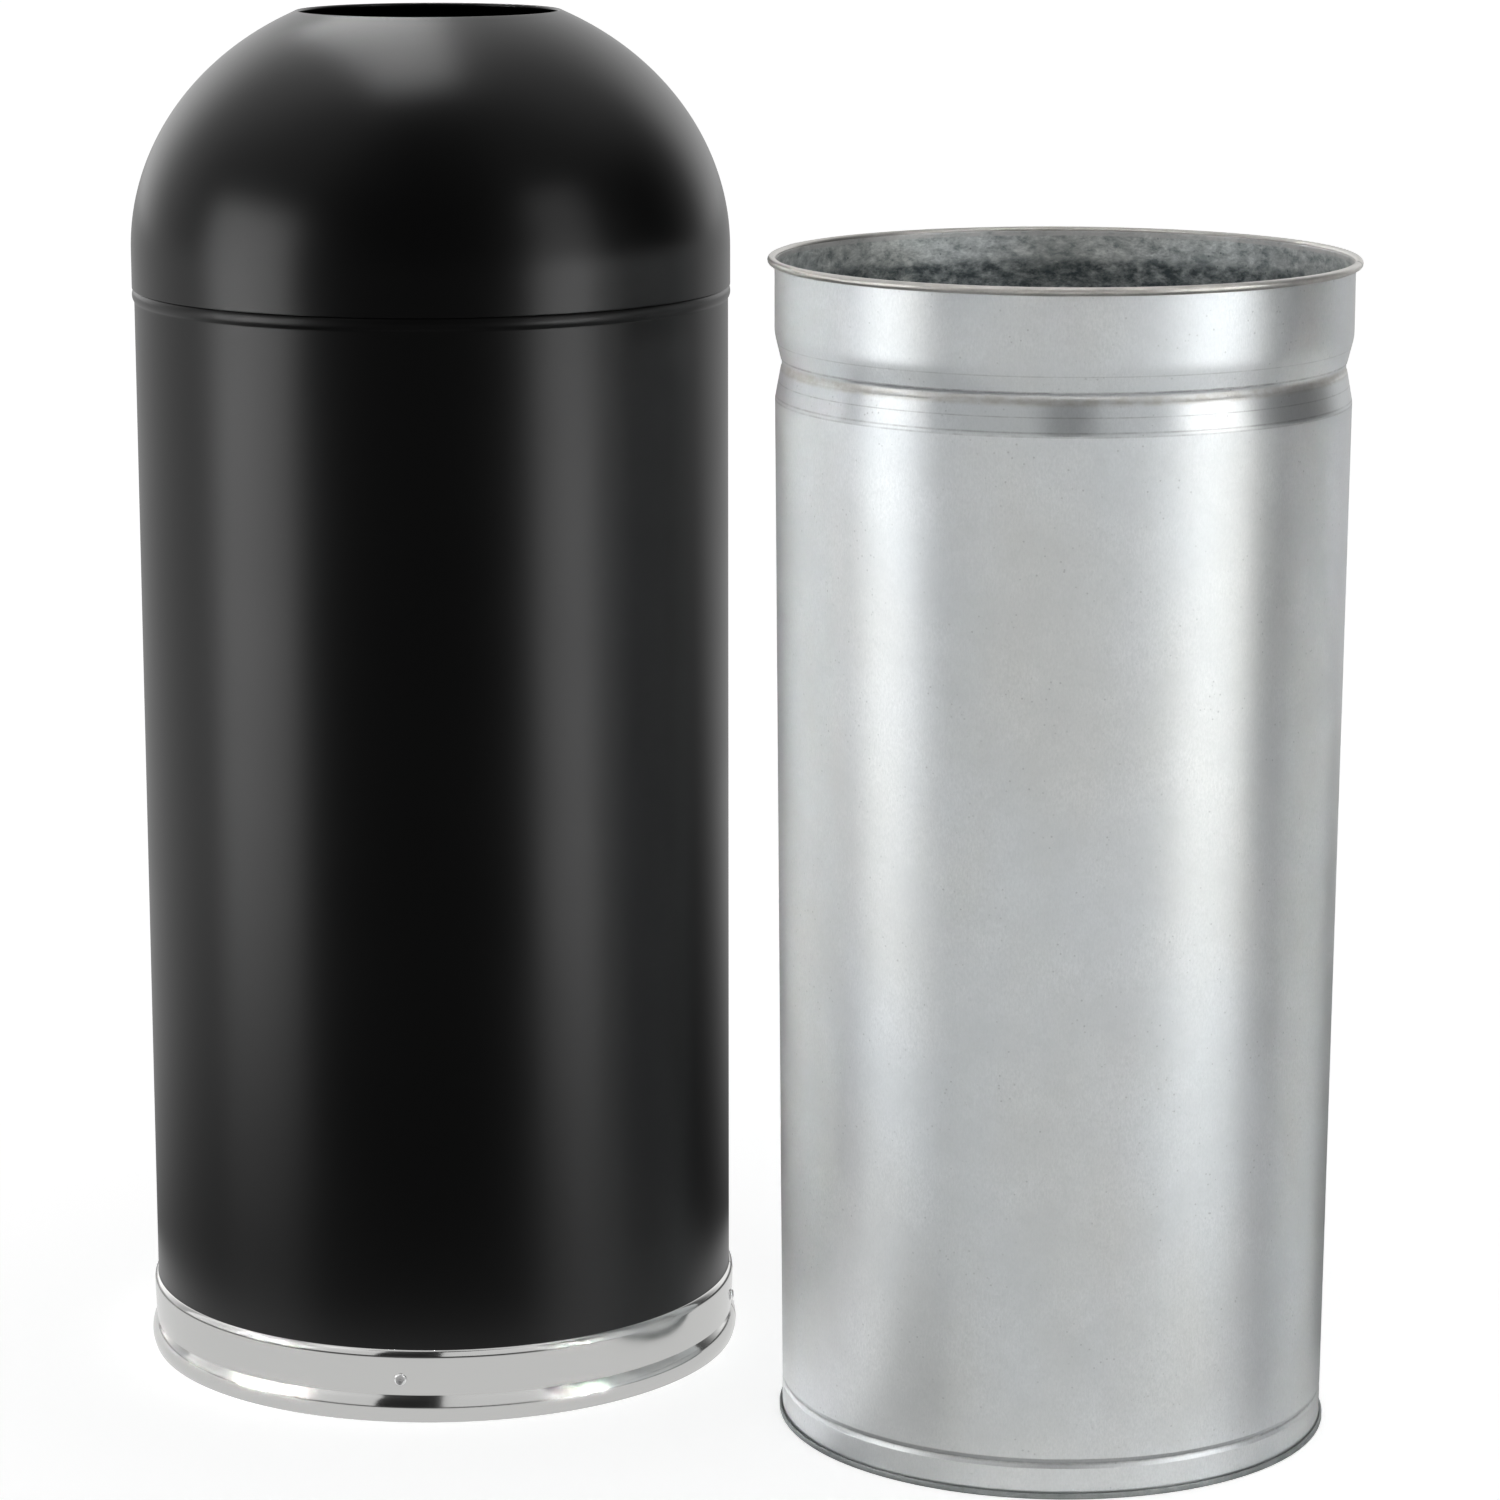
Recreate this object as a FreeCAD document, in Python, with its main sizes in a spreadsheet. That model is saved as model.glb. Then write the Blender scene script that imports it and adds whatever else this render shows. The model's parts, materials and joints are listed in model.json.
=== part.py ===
import FreeCAD, Part
import math
import os
import Sketcher

# A dome-topped litter bin and its lift-out liner, in millimetres, +Z up.
# The origin is on the floor, in the middle of the space that the pair stands in.
# The bin's front and the liner's front face -Y; the liner stands beside the bin, on +X.

V = FreeCAD.Vector
doc = FreeCAD.newDocument("LitterBin")

# Driving dimensions.
SIZES = [
    ("bodyDiameter", 381.0, "outside of the rolled body"),
    ("bodyWall", 1.0, "sheet of the body"),
    ("seamHeight", 702.0, "floor to the lower edge of the dome"),
    ("collarHeight", 20.0, "body wall standing up inside the dome"),
    ("beadHeight", 8.5, "swaged bead that the dome rests on"),
    ("beadBulge", 1.45, "how far that bead stands out"),
    ("lapWidth", 14.0, "overlap of the rolled sheet's two edges"),
    ("domeWall", 1.0, "sheet of the dome"),
    ("domeFit", 0.4, "clearance all round between dome and body"),
    ("skirtHeight", 24.0, "straight part of the dome"),
    ("domeRise", 167.5, "curved part of the dome, to where its apex would be"),
    ("mouthDiameter", 165.0, "open mouth at the top of the dome"),
    ("hemRadius", 1.6, "rolled edge of the mouth"),
    ("panHeight", 12.0, "floor to the underside of the floor pan"),
    ("panWall", 1.0, "sheet of the floor pan"),
    ("panFlange", 30.0, "upturned edge of the floor pan"),
    ("panBend", 3.0, "outside radius where that edge turns up"),
    ("sheetFit", 0.1, "clearance between sheets that are fastened together"),
    ("ringHeight", 47.5, "base ring, floor to lip"),
    ("ringWall", 0.9, "sheet of the base ring"),
    ("shoulderHeight", 5.0, "rounded shoulder below the ring's lip"),
    ("shoulderBulge", 2.5, "shoulder's reach beyond the body"),
    ("waistHeight", 17.5, "crease between the ring's band and its foot"),
    ("waistBulge", 1.6, "crease's reach beyond the body"),
    ("footHeight", 7.5, "height of the foot's widest line"),
    ("footBulge", 4.6, "foot's reach beyond the body"),
    ("footFlange", 7.0, "foot's turned-in flange, inwards from the body's face"),
    ("rivetCount", 4, "blind rivets round the ring"),
    ("rivetHeight", 28.0, "floor to the rivets"),
    ("rivetShank", 4.8, "rivet shank diameter"),
    ("rivetHead", 8.4, "rivet head diameter"),
    ("rivetCrown", 1.5, "rivet head height"),
    ("rivetDimple", 2.6, "diameter of the hollow left by the mandrel"),
    ("rivetTail", 6.6, "diameter of the set tail"),
    ("tailLength", 5.0, "length of the set tail"),
    ("rivetTurn", -5.0, "angle of the first rivet from the front, in degrees"),
    ("linerHeight", 737.0, "liner, floor to the top of its rim"),
    ("linerWall", 0.8, "sheet of the liner"),
    ("neckDiameter", 354.0, "outside of the liner just below its rim"),
    ("shoulderDiameter", 353.2, "outside of the liner below its groove"),
    ("linerFootDiameter", 342.0, "outside of the liner's wall at the bottom"),
    ("curlRadius", 2.6, "rolled rim round its wire"),
    ("wireFit", 0.4, "clearance round the wire inside the rolled rim"),
    ("curlTuck", 120.0, "how far past level the curl turns back under, in degrees"),
    ("curlSplit", 2.0, "gap where the rolled rim's ends meet"),
    ("splitTop", 2.0, "how far above the wire's middle that gap reaches"),
    ("splitTurn", -12.0, "angle of that gap from the liner's right side, in degrees"),
    ("grooveTop", 47.0, "rim to the groove's upper edge"),
    ("creaseDrop", 65.5, "rim to the middle of the groove"),
    ("grooveBottom", 87.0, "rim to the groove's lower edge"),
    ("grooveDepth", 3.8, "groove's depth below the neck"),
    ("creaseHeight", 6.0, "rounded bottom of the groove"),
    ("creaseRadius", 6.0, "radius of that rounding"),
    ("ribHeight", 22.0, "floor to the small groove above the liner's foot"),
    ("ribWidth", 6.0, "width of that small groove"),
    ("ribDepth", 1.3, "depth of that small groove"),
    ("chimeHeight", 4.0, "folded seam round the liner's foot"),
    ("chimeReach", 2.0, "that seam's reach beyond the wall"),
    ("chimeCrevice", 0.5, "open crevice between seam and wall"),
    ("linerFloor", 6.0, "floor to the underside of the liner's bottom"),
    ("lockWidth", 8.0, "folded side seam of the liner"),
    ("lockThickness", 0.8, "that seam's extra thickness"),
    ("lockMargin", 9.0, "from that seam's ends to the grooves"),
    ("lockTurn", 155.0, "direction of that seam, in degrees from +X"),
    ("standGap", 20.0, "space between bin and liner, seen from the front"),
    ("linerForward", 160.0, "how far the liner stands in front of the bin"),
]

# Places worked out from the driving dimensions, as expressions for the sheet.
BODY_R = "Sizes.bodyDiameter / 2"
BODY_TOP = "(Sizes.seamHeight + Sizes.collarHeight)"
BAND_TOP = "(Sizes.ringHeight - Sizes.shoulderHeight)"
FOOT_BULGE_RISE = "(Sizes.footBulge - Sizes.waistBulge)"
FOOT_SPAN = "(Sizes.waistHeight - Sizes.footHeight)"
FOOT_ARC = f"(({FOOT_BULGE_RISE} ^ 2 + {FOOT_SPAN} ^ 2) / (2 * {FOOT_BULGE_RISE}))"
FOOT_CENTRE = f"({BODY_R} + Sizes.footBulge - {FOOT_ARC})"
LIP_REACH = "(Sizes.shoulderBulge - Sizes.sheetFit)"
SHOULDER_ARC = f"(({LIP_REACH} ^ 2 + Sizes.shoulderHeight ^ 2) / (2 * {LIP_REACH}))"
PAN_R = f"({BODY_R} - Sizes.bodyWall - Sizes.sheetFit)"
BAND_SLOPE = f"((Sizes.shoulderBulge - Sizes.waistBulge) / ({BAND_TOP} - Sizes.waistHeight))"
BAND_AT_RIVET = (f"({BODY_R} + Sizes.waistBulge"
                 f" + {BAND_SLOPE} * (Sizes.rivetHeight - Sizes.waistHeight))")
HEAD_SEAT = f"({BAND_AT_RIVET} + {BAND_SLOPE} * Sizes.rivetHead / 2)"
TAIL_SEAT = f"({PAN_R} - Sizes.panWall - Sizes.sheetFit)"

DOME_INNER_R = f"({BODY_R} + Sizes.domeFit)"
DOME_OUTER_R = f"({BODY_R} + Sizes.domeFit + Sizes.domeWall)"
DOME_SPRING = "(Sizes.seamHeight + Sizes.skirtHeight)"
HEM_R = "(Sizes.mouthDiameter / 2 + Sizes.hemRadius)"
HEM_Z = (f"({DOME_SPRING} + Sizes.domeRise * sqrt(1 - ({HEM_R} / {DOME_OUTER_R}) ^ 2)"
         " - Sizes.hemRadius)")

NECK_R = "Sizes.neckDiameter / 2"
LINER_FOOT_R = "Sizes.linerFootDiameter / 2"
CURL_R = f"({NECK_R} - Sizes.linerWall + Sizes.curlRadius)"
CURL_Z = "(Sizes.linerHeight - Sizes.curlRadius)"
SHOULDER_Z = "(Sizes.linerHeight - Sizes.grooveBottom)"
CREASE_Z = "(Sizes.linerHeight - Sizes.creaseDrop)"
LOCK_LOW = "(Sizes.ribHeight + Sizes.ribWidth / 2 + Sizes.lockMargin)"
LOCK_HIGH = f"({SHOULDER_Z} - Sizes.lockMargin)"

BIN_REACH = f"({BODY_R} + Sizes.footBulge)"
LINER_REACH = f"({CURL_R} + Sizes.curlRadius)"
BIN_X = f"-({LINER_REACH} + Sizes.standGap / 2)"
LINER_X = f"{BIN_REACH} + Sizes.standGap / 2"
BIN_Y = f"(Sizes.linerForward + {LINER_REACH} - {BIN_REACH}) / 2"
LINER_Y = f"({LINER_REACH} - {BIN_REACH} - Sizes.linerForward) / 2"


def makeSheet():
    sheet = doc.addObject("Spreadsheet::Sheet", "Sizes")
    for row, (name, value, note) in enumerate(SIZES, start=1):
        sheet.set(f"A{row}", name)
        sheet.set(f"B{row}", str(value))
        sheet.set(f"C{row}", note)
        sheet.setAlias(f"B{row}", name)
    doc.recompute()
    return sheet


def linerRadius(height):
    # Outside radius of the liner's tapered wall at a height above the floor.
    rise = f"(Sizes.shoulderDiameter / 2 - {LINER_FOOT_R})"
    return f"({LINER_FOOT_R} + {rise} * ({height}) / {SHOULDER_Z})"


def number(expression):
    return float(doc.Sizes.evalExpression(expression.replace("Sizes.", "")))


def placeAt(piece, x, y, turn=None):
    piece.setExpression("Placement.Base.x", x)
    piece.setExpression("Placement.Base.y", y)
    if turn:
        piece.setExpression("Placement.Rotation.Angle", turn)


def makeBody(name):
    body = doc.addObject("PartDesign::Body", name)
    body.Label = name
    return body


def originPart(body, role):
    return next(part for part in body.Origin.OriginFeatures if part.Role == role)


def makeSketch(body, name, plane="XZ_Plane"):
    sketch = body.newObject("Sketcher::SketchObject", name)
    sketch.AttachmentSupport = [(originPart(body, plane), "")]
    sketch.MapMode = "FlatFace"
    return sketch


def bind(sketch, kind, place, expression):
    # Add a dimension and tie it to the sheet.
    index = sketch.addConstraint(Sketcher.Constraint(kind, *place, number(expression)))
    sketch.setExpression(f"Constraints[{index}]", expression)


def arcBetween(start, end, radius, bend):
    # Circular arc from start to end; bend is +1 to turn left along the way, -1 to turn right.
    chord = end - start
    across = V(-chord.y, chord.x, 0).normalize()
    reach = math.sqrt(max(radius ** 2 - (chord.Length / 2) ** 2, 0.0))
    centre = (start + end) / 2 + across * (bend * reach)
    first, last = (start, end) if bend > 0 else (end, start)
    angles = [math.atan2(point.y - centre.y, point.x - centre.x) for point in (first, last)]
    return Part.ArcOfCircle(Part.Circle(centre, V(0, 0, 1), radius), *angles)


def drawOutline(sketch, corners, arcs=None):
    # A closed outline through corners, each an (across, up) pair of expressions.
    # arcs gives (radius, bend) for the stretch that starts at a corner's number.
    arcs = arcs or {}
    spots = [V(number(across), number(up), 0) for across, up in corners]
    starts = []
    ends = []
    for index, spot in enumerate(spots):
        following = spots[(index + 1) % len(spots)]
        if index in arcs:
            radius, bend = arcs[index]
            edge = sketch.addGeometry(arcBetween(spot, following, number(radius), bend))
            starts.append((edge, 1 if bend > 0 else 2))
            ends.append((edge, 2 if bend > 0 else 1))
            bind(sketch, "Radius", (edge,), radius)
        else:
            edge = sketch.addGeometry(Part.LineSegment(spot, following))
            starts.append((edge, 1))
            ends.append((edge, 2))
    for index, (across, up) in enumerate(corners):
        sketch.addConstraint(Sketcher.Constraint("Coincident", *ends[index - 1], *starts[index]))
        bind(sketch, "DistanceX", (-1, 1, *starts[index]), across)
        bind(sketch, "DistanceY", (-1, 1, *starts[index]), up)


def revolve(body, name, sketch, axis="V_Axis", kind="PartDesign::Revolution", angle=None):
    turned = body.newObject(kind, name)
    turned.Profile = (sketch, [""])
    turned.ReferenceAxis = (sketch, [axis])
    turned.Angle = 360
    if angle:
        turned.setExpression("Angle", angle)
    body.Tip = turned
    return turned


def repeatRound(body, name, feature):
    pattern = body.newObject("PartDesign::PolarPattern", name)
    pattern.Originals = [feature]
    pattern.Axis = (originPart(body, "Z_Axis"), [""])
    pattern.Angle = 360
    pattern.setExpression("Occurrences", "Sizes.rivetCount")
    body.Tip = pattern


def drillRivetHoles(body):
    # Holes for the rivets: one through the front wall, repeated round the axis.
    doc.recompute()
    before = body.Shape.Volume
    sketch = makeSketch(body, body.Label + "_hole_sketch")
    centre = V(0, number("Sizes.rivetHeight"), 0)
    hole = sketch.addGeometry(Part.Circle(centre, V(0, 0, 1), number("Sizes.rivetShank / 2")))
    sketch.addConstraint(Sketcher.Constraint("PointOnObject", hole, 3, -2))
    bind(sketch, "DistanceY", (-1, 1, hole, 3), "Sizes.rivetHeight")
    bind(sketch, "Radius", (hole,), "Sizes.rivetShank / 2 + Sizes.sheetFit")
    pocket = body.newObject("PartDesign::Pocket", body.Label + "_hole")
    pocket.Profile = sketch
    pocket.Type = "ThroughAll"
    pocket.Reversed = True
    doc.recompute()
    repeatRound(body, body.Label + "_holes", pocket)
    doc.recompute()
    if body.Shape.Volume >= before:
        raise RuntimeError(body.Label + " got no rivet holes")


def makeBodyShell():
    # Rolled cylinder with a swaged bead that carries the dome, and its lapped edge at the back.
    body = makeBody("body_shell")
    inner = f"({BODY_R} - Sizes.bodyWall)"
    bulge = "((Sizes.beadBulge ^ 2 + (Sizes.beadHeight / 2) ^ 2) / (2 * Sizes.beadBulge))"
    beadLow = "(Sizes.seamHeight - Sizes.beadHeight)"
    outline = [
        (inner, "Sizes.ringWall"),
        (BODY_R, "Sizes.ringWall"),
        (BODY_R, beadLow),
        (BODY_R, "Sizes.seamHeight"),
        (BODY_R, BODY_TOP),
        (inner, BODY_TOP),
        (inner, "Sizes.seamHeight"),
        (inner, beadLow),
    ]
    sketch = makeSketch(body, "body_shell_outline")
    drawOutline(sketch, outline, {2: (bulge, 1), 6: (bulge, -1)})
    revolve(body, "body_shell_wall", sketch)

    lapLow = "(Sizes.panHeight + Sizes.panFlange + Sizes.panWall)"
    lap = makeSketch(body, "body_shell_lap_outline", "YZ_Plane")
    lapFace = f"({BODY_R} - 2 * Sizes.bodyWall)"
    lapRoot = f"({BODY_R} - Sizes.bodyWall / 2)"
    drawOutline(lap, [
        (lapFace, lapLow),
        (lapRoot, lapLow),
        (lapRoot, BODY_TOP),
        (lapFace, BODY_TOP),
    ])
    strip = body.newObject("PartDesign::Pad", "body_shell_lap")
    strip.Profile = lap
    strip.SideType = "Symmetric"
    strip.setExpression("Length", "Sizes.lapWidth")
    body.Tip = strip
    drillRivetHoles(body)
    placeAt(body, BIN_X, BIN_Y, "Sizes.rivetTurn")
    return body


def makeFloorPan():
    # Pressed tray that closes the bottom of the body and that the liner stands on.
    body = makeBody("floor_pan")
    top = "(Sizes.panHeight + Sizes.panFlange)"
    face = "(Sizes.panHeight + Sizes.panWall)"
    inner = f"({PAN_R} - Sizes.panWall)"
    outline = [
        ("0", "Sizes.panHeight"),
        (f"({PAN_R} - Sizes.panBend)", "Sizes.panHeight"),
        (PAN_R, "(Sizes.panHeight + Sizes.panBend)"),
        (PAN_R, top),
        (inner, top),
        (inner, "(Sizes.panHeight + Sizes.panBend)"),
        (f"({PAN_R} - Sizes.panBend)", face),
        ("0", face),
    ]
    sketch = makeSketch(body, "floor_pan_outline")
    drawOutline(sketch, outline, {
        1: ("Sizes.panBend", 1),
        5: ("(Sizes.panBend - Sizes.panWall)", -1),
    })
    revolve(body, "floor_pan_tray", sketch)
    drillRivetHoles(body)
    placeAt(body, BIN_X, BIN_Y, "Sizes.rivetTurn")
    return body


def makeBaseRing():
    # Formed ring round the foot: rounded shoulder, nearly flat band, flared foot, turned-in flange.
    body = makeBody("base_ring")
    lip = f"({BODY_R} + Sizes.sheetFit)"
    shoulder = f"({BODY_R} + Sizes.shoulderBulge)"
    waist = f"({BODY_R} + Sizes.waistBulge)"
    innerShoulder = f"({SHOULDER_ARC} - Sizes.ringWall)"
    innerFoot = f"({FOOT_ARC} - Sizes.ringWall)"
    lipRise = f"sqrt({innerShoulder} ^ 2 - ({SHOULDER_ARC} - {LIP_REACH}) ^ 2)"
    soleR = f"({FOOT_CENTRE} + sqrt({FOOT_ARC} ^ 2 - Sizes.footHeight ^ 2))"
    insoleR = f"({FOOT_CENTRE} + sqrt({innerFoot} ^ 2 - (Sizes.footHeight - Sizes.ringWall) ^ 2))"
    innerWaist = f"({FOOT_CENTRE} + sqrt({innerFoot} ^ 2 - {FOOT_SPAN} ^ 2))"
    flange = f"({BODY_R} - Sizes.footFlange)"
    outline = [
        (lip, "Sizes.ringHeight"),
        (lip, f"({BAND_TOP} + {lipRise})"),
        (f"({shoulder} - Sizes.ringWall)", BAND_TOP),
        (innerWaist, "Sizes.waistHeight"),
        (insoleR, "Sizes.ringWall"),
        (flange, "Sizes.ringWall"),
        (flange, "0"),
        (soleR, "0"),
        (waist, "Sizes.waistHeight"),
        (shoulder, BAND_TOP),
    ]
    sketch = makeSketch(body, "base_ring_outline")
    drawOutline(sketch, outline, {
        1: (innerShoulder, -1),
        3: (innerFoot, -1),
        7: (FOOT_ARC, 1),
        9: (SHOULDER_ARC, 1),
    })
    revolve(body, "base_ring_section", sketch)
    drillRivetHoles(body)
    placeAt(body, BIN_X, BIN_Y, "Sizes.rivetTurn")
    return body


def makeRivets():
    # Blind rivets through ring, body and pan, with a domed head outside and a set tail inside.
    body = makeBody("base_ring_rivets")
    body.AllowCompound = True
    level = "Sizes.rivetHeight"
    crown = f"-({HEAD_SEAT} + Sizes.rivetCrown)"
    dimple = f"({level} + Sizes.rivetDimple / 2)"
    edge = f"({level} + Sizes.rivetHead / 2)"
    shank = f"({level} + Sizes.rivetShank / 2)"
    tail = f"({level} + Sizes.rivetTail / 2)"
    tailEnd = f"-({TAIL_SEAT} - Sizes.tailLength)"
    outline = [
        (f"-({HEAD_SEAT})", level),
        (f"-({HEAD_SEAT})", dimple),
        (crown, dimple),
        (f"-({HEAD_SEAT})", edge),
        (f"-({HEAD_SEAT})", shank),
        (f"-({TAIL_SEAT})", shank),
        (f"-({TAIL_SEAT})", tail),
        (tailEnd, tail),
        (tailEnd, level),
    ]
    sketch = makeSketch(body, "rivet_outline", "YZ_Plane")
    drawOutline(sketch, outline, {2: ("Sizes.rivetHead / 2", -1)})
    turned = revolve(body, "rivet", sketch, f"Edge{len(outline)}")
    doc.recompute()
    repeatRound(body, "rivets", turned)
    placeAt(body, BIN_X, BIN_Y, "Sizes.rivetTurn")
    return body


def makeSolid(kind, name, **sizes):
    solid = doc.addObject(kind, name)
    for size, expression in sizes.items():
        solid.setExpression(size, expression)
    return solid


def makeDomeHalf(name, radius, rise, low, height):
    # Straight skirt with half an ellipsoid on it.
    skirt = makeSolid("Part::Cylinder", name + "_skirt", Radius=radius, Height=height)
    skirt.setExpression("Placement.Base.z", low)
    crown = makeSolid("Part::Ellipsoid", name + "_crown",
                      Radius1=rise, Radius2=radius, Radius3=radius)
    crown.Angle1 = 0
    crown.setExpression("Placement.Base.z", DOME_SPRING)
    half = doc.addObject("Part::Fuse", name)
    half.Base = skirt
    half.Tool = crown
    return half


def makeDome():
    # Spun dome that lifts off: its skirt slips over the body and rests on the bead.
    skirt = "Sizes.skirtHeight"
    outer = makeDomeHalf("dome_outside", DOME_OUTER_R, "Sizes.domeRise", "Sizes.seamHeight", skirt)
    inner = makeDomeHalf("dome_inside", DOME_INNER_R, "Sizes.domeRise - Sizes.domeWall",
                         f"(Sizes.seamHeight - {skirt})", f"2 * {skirt}")
    shell = doc.addObject("Part::Cut", "dome_closed")
    shell.Base = outer
    shell.Tool = inner
    mouth = makeSolid("Part::Cylinder", "mouth_cutter", Radius=HEM_R, Height="Sizes.domeRise * 2")
    mouth.setExpression("Placement.Base.z", DOME_SPRING)
    opened = doc.addObject("Part::Cut", "dome_open")
    opened.Base = shell
    opened.Tool = mouth
    hem = makeSolid("Part::Torus", "mouth_hem", Radius1=HEM_R, Radius2="Sizes.hemRadius")
    hem.setExpression("Placement.Base.z", HEM_Z)
    dome = doc.addObject("Part::Fuse", "dome_shell")
    dome.Base = opened
    dome.Tool = hem
    dome.Label = "dome_shell"
    placeAt(dome, BIN_X, BIN_Y)
    return dome


def makeLinerWall():
    # Tapered wall, from the flange in the foot seam up to the rim rolled round its wire.
    body = makeBody("liner_wall")
    wall = "Sizes.linerWall"
    flangeR = f"({LINER_FOOT_R} + Sizes.chimeReach - {wall} - Sizes.sheetFit)"
    flangeLow = f"({wall} + Sizes.sheetFit)"
    flangeTop = f"(2 * {wall} + Sizes.sheetFit)"
    ribLow = "(Sizes.ribHeight - Sizes.ribWidth / 2)"
    ribTop = "(Sizes.ribHeight + Sizes.ribWidth / 2)"
    crease = f"({NECK_R} - Sizes.grooveDepth)"
    sides = [
        (linerRadius(ribLow), ribLow),
        (f"({linerRadius('Sizes.ribHeight')} - Sizes.ribDepth)", "Sizes.ribHeight"),
        (linerRadius(ribTop), ribTop),
        ("Sizes.shoulderDiameter / 2", SHOULDER_Z),
        (crease, f"({CREASE_Z} - Sizes.creaseHeight / 2)"),
        (crease, f"({CREASE_Z} + Sizes.creaseHeight / 2)"),
        (NECK_R, "(Sizes.linerHeight - Sizes.grooveTop)"),
    ]
    hollow = f"(Sizes.curlRadius - {wall})"
    curlEnd = [
        (f"({CURL_R} + {radius} * cos(Sizes.curlTuck * 1 deg))",
         f"({CURL_Z} - {radius} * sin(Sizes.curlTuck * 1 deg))")
        for radius in (hollow, "Sizes.curlRadius")
    ]
    curl = [
        (NECK_R, CURL_Z),
        (CURL_R, f"({CURL_Z} + {hollow})"),
        (f"({CURL_R} + {hollow})", CURL_Z),
        *curlEnd,
        (f"({CURL_R} + Sizes.curlRadius)", CURL_Z),
        (CURL_R, f"({CURL_Z} + Sizes.curlRadius)"),
        (f"({NECK_R} - {wall})", CURL_Z),
    ]
    foot = [
        (f"({LINER_FOOT_R} - {wall})", flangeLow),
        (flangeR, flangeLow),
        (flangeR, flangeTop),
        (LINER_FOOT_R, flangeTop),
    ]
    inside = [(f"({across} - {wall})", up) for across, up in reversed(sides)]
    outline = foot + sides + curl + inside
    rim = len(foot) + len(sides)
    innerCrease = rim + len(curl) + 1
    outerCrease = len(foot) + 4
    arcs = {
        outerCrease: ("Sizes.creaseRadius", -1),
        innerCrease: ("Sizes.creaseRadius", 1),
    }
    for step in range(3):
        arcs[rim + step] = (hollow, -1)
        arcs[rim + 4 + step] = ("Sizes.curlRadius", 1)
    sketch = makeSketch(body, "liner_wall_outline")
    drawOutline(sketch, outline, arcs)
    revolve(body, "liner_wall_section", sketch)
    addLockSeam(body)
    splitCurl(body)
    placeAt(body, LINER_X, LINER_Y, "Sizes.lockTurn")
    return body


def addLockSeam(body):
    # Folded seam where the rolled wall's two edges are hooked together.
    sketch = makeSketch(body, "lock_seam_outline")
    corners = []
    for height, reach in ((LOCK_LOW, -1), (LOCK_LOW, 1), (LOCK_HIGH, 1), (LOCK_HIGH, -1)):
        offset = "Sizes.lockThickness" if reach > 0 else "-Sizes.linerWall / 2"
        corners.append((f"({linerRadius(height)} + {offset})", height))
    drawOutline(sketch, corners)
    angle = f"Sizes.lockWidth / ({LINER_FOOT_R}) * 180 deg / pi"
    revolve(body, "lock_seam", sketch, angle=angle)


def splitCurl(body):
    # The rolled rim's two ends do not quite meet, so its wire shows in the gap.
    doc.recompute()
    before = body.Shape.Volume
    sketch = makeSketch(body, "curl_split_outline")
    near = f"({NECK_R} + Sizes.sheetFit)"
    far = f"({CURL_R} + 2 * Sizes.curlRadius)"
    low = f"({CURL_Z} - 2 * Sizes.curlRadius)"
    high = f"({CURL_Z} + Sizes.splitTop)"
    drawOutline(sketch, [(near, low), (far, low), (far, high), (near, high)])
    sketch.AttachmentOffset.Rotation = FreeCAD.Rotation(V(0, 1, 0), 0)
    sketch.setExpression(".AttachmentOffset.Rotation.Angle", "Sizes.splitTurn - Sizes.lockTurn")
    slot = body.newObject("PartDesign::Pocket", "curl_split")
    slot.Profile = (sketch, [""])
    slot.setExpression("Length", "Sizes.curlSplit")
    slot.Midplane = True
    body.Tip = slot
    doc.recompute()
    if body.Shape.Volume >= before:
        raise RuntimeError("the rolled rim has no gap")


def makeRimWire():
    wire = makeSolid("Part::Torus", "liner_rim_wire", Radius1=CURL_R,
                     Radius2="Sizes.curlRadius - Sizes.linerWall - Sizes.wireFit")
    wire.setExpression("Placement.Base.z", CURL_Z)
    placeAt(wire, LINER_X, LINER_Y, "Sizes.lockTurn")
    return wire


def makeLinerBottom():
    # Pressed bottom whose edge is folded round the wall's flange as the foot seam.
    body = makeBody("liner_bottom")
    wall = "Sizes.linerWall"
    innerR = f"({LINER_FOOT_R} - 2 * {wall} - Sizes.sheetFit)"
    outerR = f"({LINER_FOOT_R} + Sizes.chimeReach)"
    lipR = f"({LINER_FOOT_R} + Sizes.chimeCrevice)"
    lipLow = f"(Sizes.chimeHeight - {wall})"
    outline = [
        ("0", "Sizes.linerFloor"),
        (innerR, "Sizes.linerFloor"),
        (innerR, "0"),
        (outerR, "0"),
        (outerR, "Sizes.chimeHeight"),
        (lipR, "Sizes.chimeHeight"),
        (lipR, lipLow),
        (f"({outerR} - {wall})", lipLow),
        (f"({outerR} - {wall})", wall),
        (f"({innerR} + {wall})", wall),
        (f"({innerR} + {wall})", f"(Sizes.linerFloor + {wall})"),
        ("0", f"(Sizes.linerFloor + {wall})"),
    ]
    sketch = makeSketch(body, "liner_bottom_outline")
    drawOutline(sketch, outline)
    revolve(body, "liner_bottom_section", sketch)
    placeAt(body, LINER_X, LINER_Y)
    return body


def checkModel(pieces):
    for item in doc.Objects:
        if "Invalid" in item.State or "Error" in item.State:
            raise RuntimeError(f"{item.Label} did not build: {item.State}")
    for piece in pieces:
        if piece.Shape.isNull() or not piece.Shape.isValid():
            raise RuntimeError(f"{piece.Label} has no valid shape")


def writeParts(pieces):
    os.makedirs("parts", exist_ok=True)
    for piece in pieces:
        piece.Shape.exportStep(f"parts/{piece.Label}.step")
        box = piece.Shape.BoundBox
        print(f"{piece.Label}: {len(piece.Shape.Solids)} solid(s), {piece.Shape.Volume / 1000:.1f} cm3,"
              f" z {box.ZMin:.2f} to {box.ZMax:.2f}")


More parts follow.
